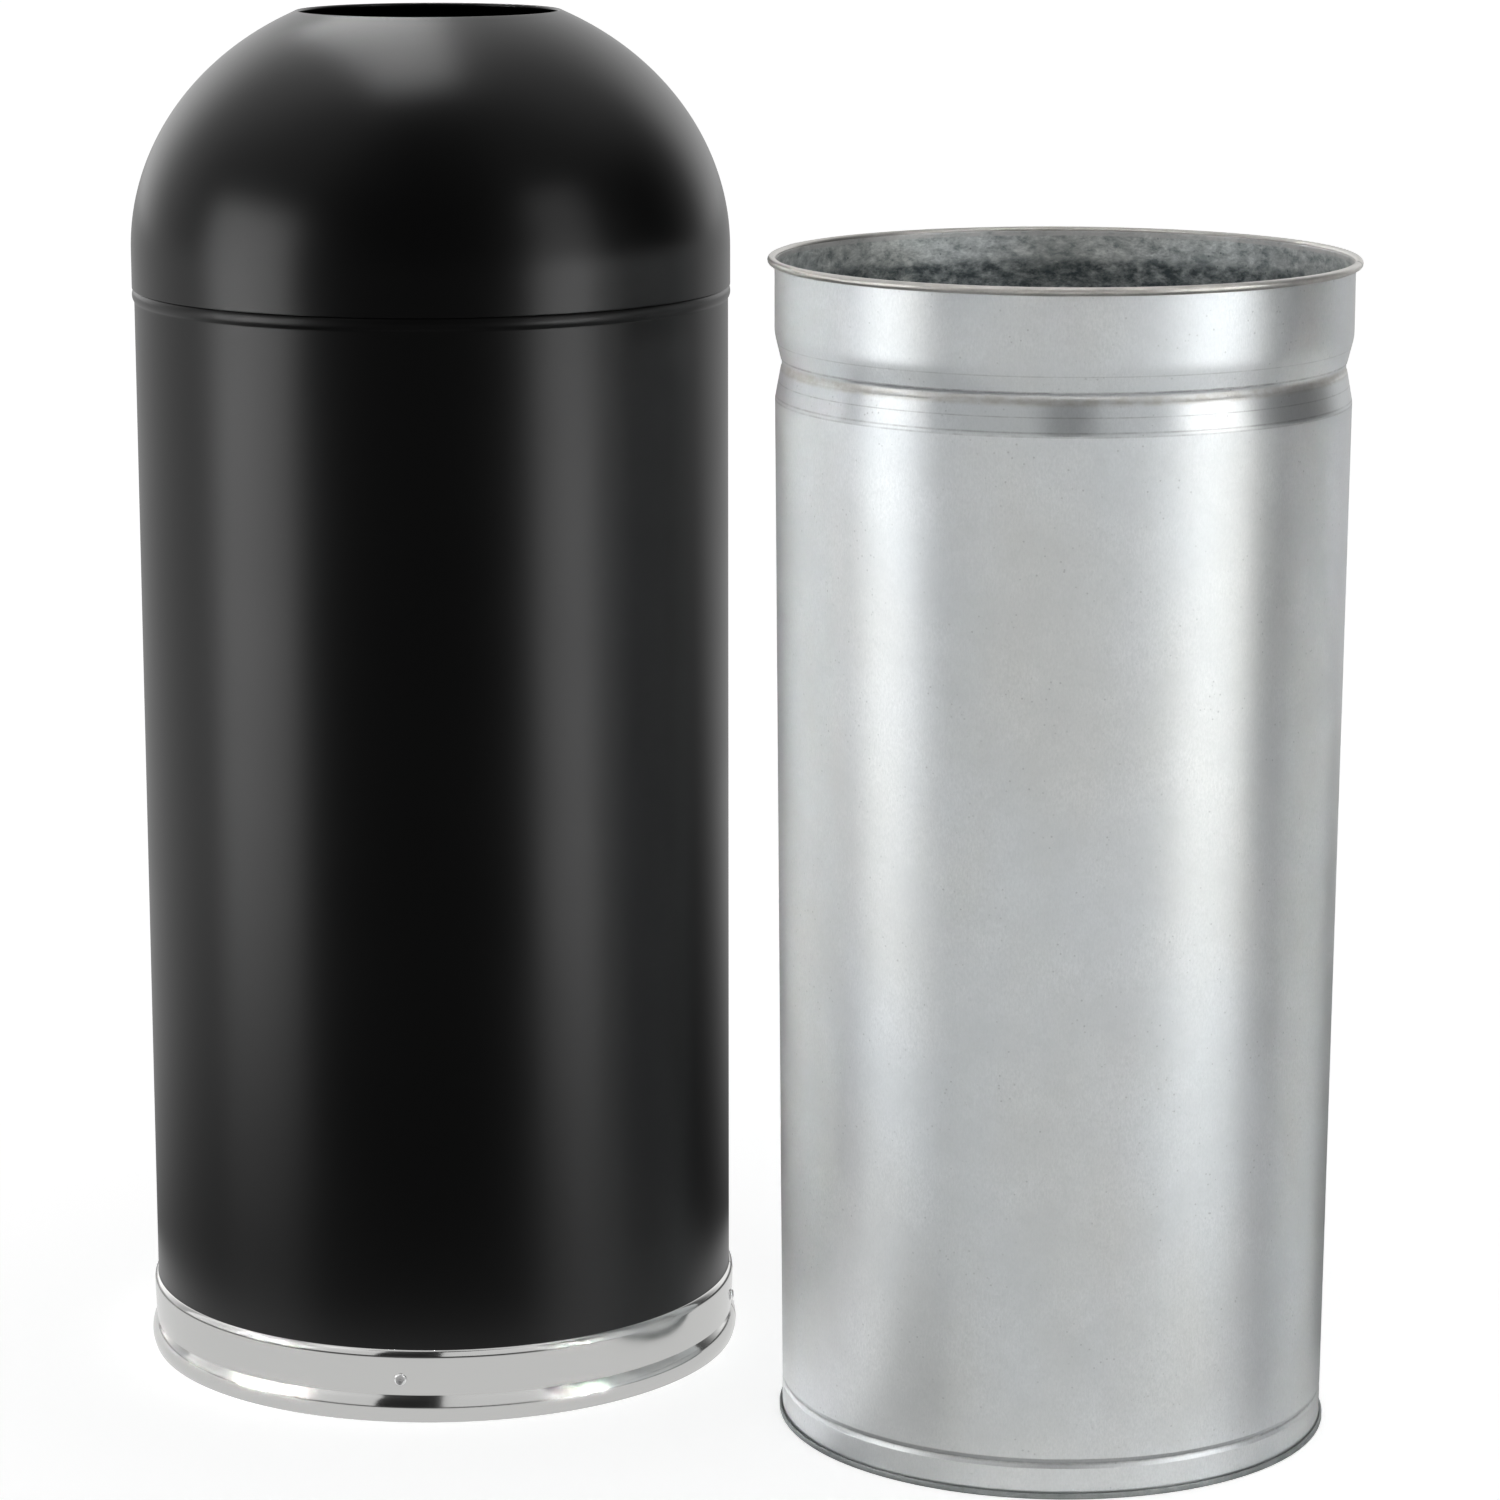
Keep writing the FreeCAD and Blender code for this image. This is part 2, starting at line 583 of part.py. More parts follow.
makeSheet()
pieces = [
    makeBodyShell(),
    makeFloorPan(),
    makeBaseRing(),
    makeRivets(),
    makeDome(),
    makeLinerWall(),
    makeRimWire(),
    makeLinerBottom(),
]
doc.recompute()
checkModel(pieces)
writeParts(pieces)
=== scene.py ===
import json
import math
import bmesh
import bpy
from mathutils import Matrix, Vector

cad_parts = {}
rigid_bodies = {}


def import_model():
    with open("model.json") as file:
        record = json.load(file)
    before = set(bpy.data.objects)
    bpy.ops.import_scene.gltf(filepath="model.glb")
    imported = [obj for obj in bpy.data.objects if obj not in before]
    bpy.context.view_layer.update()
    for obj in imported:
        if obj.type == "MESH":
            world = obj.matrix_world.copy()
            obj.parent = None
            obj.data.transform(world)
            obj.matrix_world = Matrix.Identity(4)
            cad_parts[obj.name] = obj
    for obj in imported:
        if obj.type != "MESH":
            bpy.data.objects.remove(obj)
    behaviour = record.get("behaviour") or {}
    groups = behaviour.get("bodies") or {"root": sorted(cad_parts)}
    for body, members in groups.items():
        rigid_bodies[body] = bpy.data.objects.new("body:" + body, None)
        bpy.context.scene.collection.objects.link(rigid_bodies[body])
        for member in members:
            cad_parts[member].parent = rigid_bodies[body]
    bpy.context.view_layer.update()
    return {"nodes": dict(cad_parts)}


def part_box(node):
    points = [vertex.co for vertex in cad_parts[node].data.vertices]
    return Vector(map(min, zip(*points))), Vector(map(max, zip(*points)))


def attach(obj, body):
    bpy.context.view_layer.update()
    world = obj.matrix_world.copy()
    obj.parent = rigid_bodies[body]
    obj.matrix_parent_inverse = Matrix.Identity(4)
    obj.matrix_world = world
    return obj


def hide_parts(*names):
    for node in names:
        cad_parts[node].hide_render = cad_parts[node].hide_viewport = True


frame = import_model()
print("frame loaded:", ", ".join(sorted(frame["nodes"])))

mm = 0.001
scene = bpy.context.scene


def axisOf(*nodes):
    # upright axis through the middle of some round CAD nodes
    boxes = [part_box(node) for node in nodes]
    low = [min(box[0][i] for box in boxes) for i in (0, 1)]
    high = [max(box[1][i] for box in boxes) for i in (0, 1)]
    return ((low[0] + high[0]) / 2, (low[1] + high[1]) / 2)


binAxis = axisOf("base_ring")
linerAxis = axisOf("liner_bottom")


# tools that shape a section and turn it into a piece

def arc(start, end, radius, bend, count=8):
    # points between start and end on an arc, ends left out; bend 1 turns left along the way
    across, up = end[0] - start[0], end[1] - start[1]
    chord = math.hypot(across, up)
    reach = math.sqrt(max(radius ** 2 - (chord / 2) ** 2, 0.0)) * bend
    centre = ((start[0] + end[0]) / 2 - up / chord * reach,
              (start[1] + end[1]) / 2 + across / chord * reach)
    first = math.atan2(start[1] - centre[1], start[0] - centre[0])
    last = math.atan2(end[1] - centre[1], end[0] - centre[0])
    turn = (last - first) % math.tau
    if bend < 0:
        turn -= math.tau
    angles = [first + turn * step / count for step in range(1, count)]
    return [(centre[0] + radius * math.cos(a), centre[1] + radius * math.sin(a)) for a in angles]


def roundCorners(loop, radius, closed=True, sharpest=25):
    # small arcs in place of a section's sharp corners
    rounded = []
    for index, corner in enumerate(loop):
        if not closed and index in (0, len(loop) - 1):
            rounded.append(corner)
            continue
        before, after = loop[index - 1], loop[(index + 1) % len(loop)]
        back = (before[0] - corner[0], before[1] - corner[1])
        ahead = (after[0] - corner[0], after[1] - corner[1])
        backLength, aheadLength = math.hypot(*back), math.hypot(*ahead)
        cosine = (back[0] * ahead[0] + back[1] * ahead[1]) / (backLength * aheadLength)
        bendAngle = 180 - math.degrees(math.acos(max(-1.0, min(1.0, cosine))))
        if bendAngle < sharpest:
            rounded.append(corner)
            continue
        trim = min(radius * math.tan(math.radians(bendAngle / 2)), backLength * 0.45, aheadLength * 0.45)
        arcRadius = trim / math.tan(math.radians(bendAngle / 2))
        start = (corner[0] + back[0] / backLength * trim, corner[1] + back[1] / backLength * trim)
        end = (corner[0] + ahead[0] / aheadLength * trim, corner[1] + ahead[1] / aheadLength * trim)
        side = back[0] * ahead[1] - back[1] * ahead[0]
        rounded += [start, *arc(start, end, arcRadius, 1 if side < 0 else -1, 3), end]
    return rounded


def holdFlats(loop, closed=True, longest=6.0, margin=0.7):
    # extra points near the ends of long straight runs, so that shading stays flat along them
    held = []
    for index, point in enumerate(loop):
        held.append(point)
        if not closed and index == len(loop) - 1:
            break
        after = loop[(index + 1) % len(loop)]
        length = math.hypot(after[0] - point[0], after[1] - point[1])
        if length > longest:
            for share in (margin / length, 1 - margin / length):
                held.append((point[0] + (after[0] - point[0]) * share,
                             point[1] + (after[1] - point[1]) * share))
    return held


def roundAngles(steps, extra=(), start=0.0, sweep=360.0):
    angles = [start + sweep * step / steps for step in range(steps + (sweep < 360.0))]
    return sorted(set(angles) | set(extra))


def spinSection(mesh, axis, loop, angles, shape=None, closed=True, whole=True, material=None):
    # turns a section in (radius, height) millimetres about an upright axis, into a bmesh with a UV map
    uvLayer = mesh.loops.layers.uv.verify()
    along = [0.0]
    for index, point in enumerate(loop):
        after = loop[(index + 1) % len(loop)]
        along.append(along[-1] + math.hypot(after[0] - point[0], after[1] - point[1]))
    girth = max(point[0] for point in loop)
    columns = []
    for angle in angles:
        turn = math.radians(angle)
        column = []
        for radius, height in loop:
            if radius < 1e-6 and columns:
                column.append(columns[0][len(column)])
                continue
            reach = radius + (shape(angle, radius, height) if shape and radius > 1e-6 else 0.0)
            column.append(mesh.verts.new((axis[0] + reach * mm * math.cos(turn),
                                          axis[1] + reach * mm * math.sin(turn), height * mm)))
        columns.append(column)
    made = []
    spans = len(angles) if whole else len(angles) - 1
    rows = len(loop) if closed else len(loop) - 1
    for k in range(spans):
        here, there = columns[k], columns[(k + 1) % len(columns)]
        left = angles[k]
        right = angles[(k + 1) % len(angles)] + (360.0 if k == len(angles) - 1 else 0.0)
        for i in range(rows):
            j = (i + 1) % len(loop)
            corners = [(here[i], left, i), (there[i], right, i),
                       (there[j], right, i + 1), (here[j], left, i + 1)]
            unique = []
            for corner in corners:
                if corner[0] not in [kept[0] for kept in unique]:
                    unique.append(corner)
            if len(unique) < 3:
                continue
            face = mesh.faces.new([corner[0] for corner in unique])
            face.smooth = True
            if material:
                face.material_index = material(i, loop[i], loop[j])
            for faceLoop, corner in zip(face.loops, unique):
                faceLoop[uvLayer].uv = (math.radians(corner[1]) * girth * mm, along[corner[2]] * mm)
            made.append(face)
    if not whole and closed:
        for column, flip in ((columns[0], False), (columns[-1], True)):
            cap = mesh.faces.new(column[::-1] if flip else column)
            made.append(cap)
    return made


def finishPiece(mesh, name, materials, creaseAngle=38):
    # closes, turns outwards and smooths a bmesh, and makes it an object at the origin
    bmesh.ops.remove_doubles(mesh, verts=mesh.verts, dist=1e-7)
    bmesh.ops.recalc_face_normals(mesh, faces=mesh.faces)
    data = bpy.data.meshes.new(name)
    mesh.to_mesh(data)
    mesh.free()
    data.set_sharp_from_angle(angle=math.radians(creaseAngle))
    for material in materials:
        data.materials.append(material)
    piece = bpy.data.objects.new(name, data)
    scene.collection.objects.link(piece)
    return piece


def settle(piece, body, slot, *nodes):
    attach(piece, body)
    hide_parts(*nodes)
    print(f"{piece.name}: {len(piece.data.polygons)} faces on {body}")


# tools that build finishes out of nodes

def plug(tree, socket, value):
    if isinstance(value, bpy.types.NodeSocket):
        tree.links.new(value, socket)
    else:
        socket.default_value = value


def addNode(tree, kind, inputs=None, **settings):
    node = tree.nodes.new(kind)
    for name, value in settings.items():
        setattr(node, name, value)
    for name, value in (inputs or {}).items():
        plug(tree, node.inputs[name], value)
    return node


def calc(tree, operation, first, second=0.0, third=0.0, clamp=False):
    node = addNode(tree, "ShaderNodeMath", {0: first, 1: second, 2: third},
                   operation=operation, use_clamp=clamp)
    return node.outputs[0]


def blendLevels(tree, share, first, second):
    return addNode(tree, "ShaderNodeMix", {0: share, 2: first, 3: second}).outputs[0]


def blendColours(tree, share, first, second, mode="MIX"):
    node = addNode(tree, "ShaderNodeMix", {0: share, 6: first, 7: second}, data_type="RGBA", blend_type=mode)
    return node.outputs[2]


def remap(tree, value, low, high, newLow=0.0, newHigh=1.0, smooth=False):
    node = addNode(tree, "ShaderNodeMapRange", {
        "Value": value, "From Min": low, "From Max": high, "To Min": newLow, "To Max": newHigh,
    }, interpolation_type="SMOOTHSTEP" if smooth else "LINEAR")
    return node.outputs["Result"]


def noise(tree, vector, scale, detail=3.0, roughness=0.5, distortion=0.0):
    node = addNode(tree, "ShaderNodeTexNoise", {
        "Vector": vector, "Scale": scale, "Detail": detail, "Roughness": roughness, "Distortion": distortion,
    })
    return node.outputs["Fac"]


def cells(tree, vector, scale, feature="F1", output="Distance", randomness=1.0):
    node = addNode(tree, "ShaderNodeTexVoronoi", {"Vector": vector, "Scale": scale, "Randomness": randomness},
                   feature=feature)
    return node.outputs[output]


def stretch(tree, vector, scale, shift=(0.0, 0.0, 0.0)):
    node = addNode(tree, "ShaderNodeMapping", {"Vector": vector, "Location": shift, "Scale": scale})
    return node.outputs[0]


def bump(tree, height, distance, strength=1.0, normal=None):
    inputs = {"Height": height, "Distance": distance, "Strength": strength}
    if normal:
        inputs["Normal"] = normal
    return addNode(tree, "ShaderNodeBump", inputs).outputs[0]


def newFinish(name):
    # an empty material with its Principled shader and coordinates
    material = bpy.data.materials.new(name)
    material.use_nodes = True
    tree = material.node_tree
    tree.nodes.clear()
    shader = addNode(tree, "ShaderNodeBsdfPrincipled")
    addNode(tree, "ShaderNodeOutputMaterial", {"Surface": shader.outputs[0]})
    places = addNode(tree, "ShaderNodeTexCoord")
    return material, tree, shader, places.outputs["Object"], places.outputs["UV"]


def setShader(tree, shader, **values):
    names = {"colour": "Base Color", "metal": "Metallic", "rough": "Roughness", "normal": "Normal",
             "specular": "Specular IOR Level"}
    for key, value in values.items():
        plug(tree, shader.inputs[names[key]], value)


# the finishes, each with the numbers that change its look

def coatFinish(name, look):
    # baked black powder coat, with a fine even grain
    material, tree, shader, spot, _ = newFinish(name)
    tone = noise(tree, spot, 9.0, 1.0)
    colour = blendColours(tree, tone, (*look["dark"], 1.0), (*look["light"], 1.0))
    grain = noise(tree, spot, look["grainScale"], 2.0, 0.55)
    flow = noise(tree, spot, 260.0, 2.0, 0.5)
    cloud = noise(tree, spot, 14.0, 1.0)
    rough = remap(tree, cloud, 0.0, 1.0, look["rough"][0], look["rough"][1])
    surface = bump(tree, flow, 0.00002, look["flow"], bump(tree, grain, 0.00002, look["grain"]))
    setShader(tree, shader, colour=colour, rough=rough, specular=look["specular"], normal=surface)
    return material


def ringFinish(look):
    # bright ring, polished and faintly brushed along its length
    material, tree, shader, spot, sheet = newFinish("bright_ring")
    lines = noise(tree, stretch(tree, sheet, (14.0, 2600.0, 1.0)), 1.0, 3.0, 0.6)
    smudge = noise(tree, spot, 22.0, 3.0, 0.55)
    colour = blendColours(tree, remap(tree, lines, 0.35, 0.65), (*look["dark"], 1.0), (*look["light"], 1.0))
    rough = calc(tree, "ADD", remap(tree, lines, 0.3, 0.7, look["rough"][0], look["rough"][1]),
                 remap(tree, smudge, 0.45, 0.7, 0.0, 0.05))
    setShader(tree, shader, colour=colour, metal=1.0, rough=rough,
              normal=bump(tree, lines, 0.00001, look["brush"]))
    return material


def rivetFinish(look):
    material, tree, shader, spot, sheet = newFinish("bright_rivet")
    mottle = noise(tree, spot, 900.0, 3.0, 0.6)
    colour = blendColours(tree, remap(tree, mottle, 0.35, 0.65), (*look["dark"], 1.0), (*look["light"], 1.0))
    # the dished centre and the mandrel's dimple are painted a darker grey: painted shade
    along = addNode(tree, "ShaderNodeSeparateXYZ", {"Vector": sheet}).outputs[1]
    hollow = remap(tree, along, look["hollowFrom"], look["hollowFrom"] + 0.0002)
    colour = blendColours(tree, hollow, colour, (*look["hollow"], 1.0))
    setShader(tree, shader, colour=colour, metal=1.0,
              rough=remap(tree, mottle, 0.3, 0.7, look["rough"][0], look["rough"][1]),
              normal=bump(tree, mottle, 0.00002, 0.4))
    return material


def band(tree, value, middle, half, ease):
    # 1 within half of the middle, easing to 0 outside
    away = calc(tree, "ABSOLUTE", calc(tree, "SUBTRACT", value, middle))
    return remap(tree, away, half + ease, half, 0.0, 1.0, smooth=True)


def galvanisedFinish(name, look):
    # zinc-coated sheet: soft flakes, cloudy patches, fine grain and a few specks
    material, tree, shader, spot, _ = newFinish(name)
    drift = addNode(tree, "ShaderNodeTexNoise", {"Vector": spot, "Scale": 60.0, "Detail": 2.0})
    bent = addNode(tree, "ShaderNodeVectorMath", {0: drift.outputs["Color"], 1: (0.008,) * 3, 2: spot},
                   operation="MULTIPLY_ADD").outputs[0]
    flakes = cells(tree, bent, look["spangleScale"], output="Color")
    flake = addNode(tree, "ShaderNodeSeparateColor", {"Color": flakes}).outputs[0]
    upright = stretch(tree, spot, (1.0, 1.0, look["streak"]))
    cloud = noise(tree, upright, look["cloudScale"], 4.0, 0.6, 0.4)
    grain = noise(tree, upright, look["grainScale"], 2.0, 0.6)
    worn = remap(tree, noise(tree, spot, 19.0, 2.0), 0.35, 0.65, 0.35, 1.0)
    patchy = calc(tree, "MULTIPLY", flake, look["spangle"])
    patchy = calc(tree, "MULTIPLY_ADD", remap(tree, cloud, 0.3, 0.7), look["cloud"], patchy)
    fine = calc(tree, "MULTIPLY", remap(tree, grain, 0.3, 0.7), worn)
    patchy = calc(tree, "MULTIPLY_ADD", fine, look["grain"], patchy, clamp=True)
    colour = blendColours(tree, patchy, (*look["dark"], 1.0), (*look["light"], 1.0))
    tint = remap(tree, noise(tree, upright, 11.0, 2.0), 0.3, 0.7, 0.0, look["tint"], smooth=True)
    colour = blendColours(tree, tint, colour, (0.97, 0.95, 0.92, 1.0), "MULTIPLY")
    dusty = noise(tree, spot, 40.0, 2.0)
    specks = cells(tree, spot, look["speckScale"])
    speck = calc(tree, "MULTIPLY", remap(tree, specks, 0.16, 0.10), remap(tree, dusty, 0.5, 0.62), clamp=True)
    speck = calc(tree, "MULTIPLY", speck, look["specks"])
    colour = blendColours(tree, speck, colour, (*look["speckColour"], 1.0))
    height = addNode(tree, "ShaderNodeSeparateXYZ", {"Vector": spot}).outputs[2]
    for middle, half, ease, strength, shade in look["paintedBands"]:
        # bands painted by height: mostly painted shade in creases and crevices, one painted highlight, one
        # with a brownish stain tint
        broken = noise(tree, stretch(tree, spot, (1.0, 1.0, 1.6), (0.0, 0.0, middle * 7.0)), 90.0, 4.0, 0.65)
        broken = remap(tree, broken, 0.35, 0.6, 0.35, 1.0)
        paintedBandMask = calc(tree, "MULTIPLY", band(tree, height, middle, half, ease), broken)
        colour = blendColours(tree, calc(tree, "MULTIPLY", paintedBandMask, strength), colour, (*shade, 1.0))
    rough = calc(tree, "ADD", remap(tree, flake, 0.0, 1.0, look["rough"][0], look["rough"][1]),
                 remap(tree, cloud, 0.3, 0.7, -0.03, 0.03))
    for middle, half, ease, level in look["polished"]:
        rough = blendLevels(tree, band(tree, height, middle, half, ease), rough, level)
    surface = bump(tree, cloud, 0.0004, look["wave"], bump(tree, grain, 0.00002, look["grainBump"]))
    setShader(tree, shader, colour=colour, metal=look["metal"], rough=rough, normal=surface)
    return material


blackCoat = coatFinish("black_powder_coat", {
    "dark": (0.0014, 0.0014, 0.0015), "light": (0.0022, 0.0022, 0.0023), "grainScale": 1500.0,
    "grain": 0.35, "flow": 0.3, "rough": (0.29, 0.33), "specular": 0.42})
domeCoat = coatFinish("dome_powder_coat", {
    "dark": (0.0014, 0.0014, 0.0015), "light": (0.0022, 0.0022, 0.0023), "grainScale": 1500.0,
    "grain": 0.35, "flow": 0.25, "rough": (0.27, 0.31), "specular": 0.42})
panCoat = coatFinish("pan_coat", {
    "dark": (0.012, 0.012, 0.013), "light": (0.018, 0.018, 0.019), "grainScale": 900.0,
    "grain": 0.8, "flow": 0.5, "rough": (0.48, 0.58), "specular": 0.4})
brightRing = ringFinish({
    "dark": (0.60, 0.60, 0.59), "light": (0.66, 0.66, 0.65), "rough": (0.07, 0.11), "brush": 0.4})
brightRivet = rivetFinish({
    "dark": (0.88, 0.88, 0.88), "light": (0.97, 0.97, 0.97), "rough": (0.18, 0.28),
    "hollow": (0.42, 0.42, 0.42), "hollowFrom": 0.0169})
# creaseShadeLine is painted shade: nearly black lines along the groove's creases and the rib
creaseShadeLine, creaseStainAndShade = (0.17, 0.18, 0.18), (0.40, 0.385, 0.35)
galvanisedSheet = galvanisedFinish("galvanised_sheet", {
    "dark": (0.525, 0.552, 0.567), "light": (0.652, 0.677, 0.691), "spangleScale": 150.0, "cloudScale": 7.0,
    "streak": 0.45, "spangle": 0.14, "cloud": 0.34, "grainScale": 1000.0, "grain": 0.75, "tint": 0.9,
    "speckScale": 210.0, "specks": 0.5, "speckColour": (0.30, 0.32, 0.32),
    # the wide band at 0.6700 is painted shade in the crease, with a brownish stain tint
    "paintedBands": [(0.6700, 0.0012, 0.0030, 0.75, creaseStainAndShade), (0.6845, 0.0001, 0.0005, 0.30, creaseShadeLine),
              (0.6748, 0.0003, 0.0006, 0.60, creaseShadeLine), (0.6606, 0.0001, 0.0005, 0.42, creaseShadeLine),
              (0.6518, 0.0002, 0.0006, 0.45, creaseShadeLine), (0.6495, 0.0002, 0.0006, 0.40, creaseShadeLine),
              (0.0220, 0.0002, 0.0012, 0.60, creaseShadeLine)],
    "polished": [(0.6590, 0.0080, 0.0015, 0.28)],
    "rough": (0.35, 0.39), "wave": 0.10, "grainBump": 0.5, "metal": 0.88})
galvanisedInside = galvanisedFinish("galvanised_inside", {
    "dark": (0.13, 0.16, 0.17), "light": (0.84, 0.87, 0.86), "spangleScale": 210.0, "cloudScale": 90.0,
    "streak": 1.9, "spangle": 0.20, "cloud": 0.64, "grainScale": 420.0, "grain": 0.38, "tint": 0.9,
    "speckScale": 180.0, "specks": 0.7, "speckColour": (0.10, 0.12, 0.13),
    # the dark band at 0.7030 is painted shade, darker down the inner wall
    "paintedBands": [(0.7030, 0.0090, 0.0080, 0.95, (0.050, 0.066, 0.072)),
              # the light band at 0.7332, in the rolled rim's grey, is a painted highlight along the inner top
              (0.7332, 0.0014, 0.0008, 0.90, (0.620, 0.610, 0.600))],
    "polished": [], "rough": (0.36, 0.5), "wave": 0.3, "grainBump": 0.5, "metal": 0.72})
galvanisedFoot = galvanisedFinish("galvanised_foot", {
    "dark": (0.15, 0.165, 0.165), "light": (0.33, 0.35, 0.35), "spangleScale": 160.0, "cloudScale": 30.0,
    "streak": 1.0, "spangle": 0.3, "cloud": 0.5, "grainScale": 900.0, "grain": 0.3, "tint": 0.5,
    "speckScale": 500.0, "specks": 0.4, "speckColour": (0.12, 0.13, 0.13),
    # the nearly black line at 0.0046 is painted shade in the crevice above the folded seam
    "paintedBands": [(0.0046, 0.0002, 0.0006, 0.80, (0.05, 0.055, 0.055))],
    "polished": [], "rough": (0.42, 0.52), "wave": 0.1, "grainBump": 0.2, "metal": 0.9})
rolledRim = galvanisedFinish("rolled_rim", {
    "dark": (0.44, 0.43, 0.41), "light": (0.60, 0.59, 0.57), "spangleScale": 300.0, "cloudScale": 60.0,
    "streak": 1.0, "spangle": 0.25, "cloud": 0.5, "grainScale": 900.0, "grain": 0.3, "tint": 0.5,
    "speckScale": 500.0, "specks": 0.4, "speckColour": (0.20, 0.20, 0.19), "paintedBands": [],
    "polished": [], "rough": (0.30, 0.38), "wave": 0.2, "grainBump": 0.3, "metal": 0.92})
drawnWire = galvanisedFinish("drawn_wire", {
    "dark": (0.30, 0.31, 0.32), "light": (0.42, 0.43, 0.44), "spangleScale": 400.0, "cloudScale": 60.0,
    "streak": 1.0, "spangle": 0.3, "cloud": 0.4, "grainScale": 900.0, "grain": 0.3, "tint": 0.3,
    "speckScale": 900.0, "specks": 0.3, "speckColour": (0.2, 0.2, 0.2), "paintedBands": [],
    "polished": [], "rough": (0.3, 0.4), "wave": 0.0, "grainBump": 0.1, "metal": 1.0})
print("finishes ready")


# body: rolled sheet with a swaged bead, lapped at the back

bodySizes = {"radius": 190.5, "wall": 1.0, "low": 0.9, "top": 722.0, "beadLow": 693.5, "beadTop": 702.0,
             "beadBulge": 1.45, "beadFillet": 2.6, "beadLead": 0.8,
             "lapTurn": 85.0, "lapWidth": 14.0, "lapLow": 43.0, "steps": 288}


def window(value, low, high, ease):
    # 1 between low and high, easing to 0 over a margin outside
    rise = min(max((value - low + ease) / ease, 0.0), 1.0)
    fall = min(max((high + ease - value) / ease, 0.0), 1.0)
    return min(rise, fall)


def makeBody(s):
    outer, inner = s["radius"], s["radius"] - s["wall"]
    half = (s["beadTop"] - s["beadLow"]) / 2
    bulge = (s["beadBulge"] ** 2 + half ** 2) / (2 * s["beadBulge"])
    bead = arc((outer, s["beadLow"]), (outer, s["beadTop"]), bulge, 1, 10)
    lead = (outer, s["beadLow"] - s["beadLead"])
    section = [(inner, s["low"]), (outer, s["low"]), lead, *arc(lead, bead[0], s["beadFillet"], -1, 4),
               *bead, (outer, s["beadTop"]), (outer, s["top"]), (inner, s["top"]), (inner, s["beadTop"]),
               *arc((inner, s["beadTop"]), (inner, s["beadLow"]), bulge, -1, 10),
               (inner, s["beadLow"])]
    section = holdFlats(roundCorners(section, 0.3))
    lapHalf = math.degrees(s["lapWidth"] / 2 / outer)
    edge = s["lapTurn"] + lapHalf
    edgeAngles = [edge + step for step in (-0.18, -0.08, 0.0, 0.08, 0.18)]

    def lapEdge(angle, radius, height):
        # the outer sheet's edge shows as a fine upright line
        if radius < outer - 0.2:
            return 0.0
        return -0.35 * window(angle, edge - 0.02, edge + 0.02, 0.1)

    mesh = bmesh.new()
    spinSection(mesh, binAxis, section, roundAngles(s["steps"], edgeAngles), lapEdge)
    strip = roundCorners([(inner - s["wall"], s["lapLow"]), (inner - 0.02, s["lapLow"]),
                          (inner - 0.02, s["top"]), (inner - s["wall"], s["top"])], 0.3)
    turns = [s["lapTurn"] - lapHalf + 2 * lapHalf * step / 6 for step in range(7)]
    spinSection(mesh, binAxis, strip, turns, whole=False)
    return finishPiece(mesh, "bin_body_sheet", [blackCoat])


settle(makeBody(bodySizes), "bin_body", "black_coat", "body_shell")


# floor pan

panSizes = {"radius": 189.4, "low": 12.0, "wall": 1.0, "flange": 30.0, "bend": 3.0, "steps": 192}


def makePan(s):
    outer, low = s["radius"], s["low"]
    face, top, inner = low + s["wall"], low + s["flange"], outer - s["wall"]
    bend = outer - s["bend"]
    section = [(0.0, low), (bend, low), *arc((bend, low), (outer, low + s["bend"]), s["bend"], 1, 6),
               (outer, low + s["bend"]), (outer, top), (inner, top), (inner, low + s["bend"]),
               *arc((inner, low + s["bend"]), (bend, face), s["bend"] - s["wall"], -1, 6),
               (bend, face), (0.0, face)]
    section = holdFlats(roundCorners(section, 0.3, closed=False), closed=False)
    mesh = bmesh.new()
    spinSection(mesh, binAxis, section, roundAngles(s["steps"]), closed=False)
    return finishPiece(mesh, "bin_floor_pan", [panCoat])


settle(makePan(panSizes), "bin_body", "pan_coat", "floor_pan")


# dome: spun shell with a rolled edge round its mouth

domeSizes = {"radius": 191.9, "wall": 1.0, "low": 702.0, "spring": 726.0, "rise": 167.5,
             "hemRadius": 1.6, "hemAcross": 84.1, "hemHeight": 874.96, "steps": 288, "rows": 44}


def makeDome(s):
    def curve(radius, rise, count):
        # from the skirt's top up to the mouth
        last = math.acos(s["hemAcross"] / radius)
        return [(radius * math.cos(last * k / count), s["spring"] + rise * math.sin(last * k / count))
                for k in range(count + 1)]

    outside = curve(s["radius"], s["rise"], s["rows"])
    inside = curve(s["radius"] - s["wall"], s["rise"] - s["wall"], s["rows"])
    inside = [point for point in inside if point[0] > s["hemAcross"] + 0.9]
    outside = [point for point in outside if point[0] > s["hemAcross"] + 0.35]
    centre = (s["hemAcross"], s["hemHeight"])
    first, last = math.radians(62), math.radians(340)
    hem = [(centre[0] + s["hemRadius"] * math.cos(first + (last - first) * k / 16),
            centre[1] + s["hemRadius"] * math.sin(first + (last - first) * k / 16)) for k in range(17)]
    section = [(s["radius"] - s["wall"], s["low"]), (s["radius"], s["low"]),
               *outside, *hem, *reversed(inside)]
    section = holdFlats(roundCorners(section, 0.35, sharpest=50))
    mesh = bmesh.new()
    spinSection(mesh, binAxis, section, roundAngles(s["steps"]))
    return finishPiece(mesh, "dome_top", [domeCoat], 50)


settle(makeDome(domeSizes), "dome", "dome_coat", "dome_shell")


# tools for Geometry Nodes

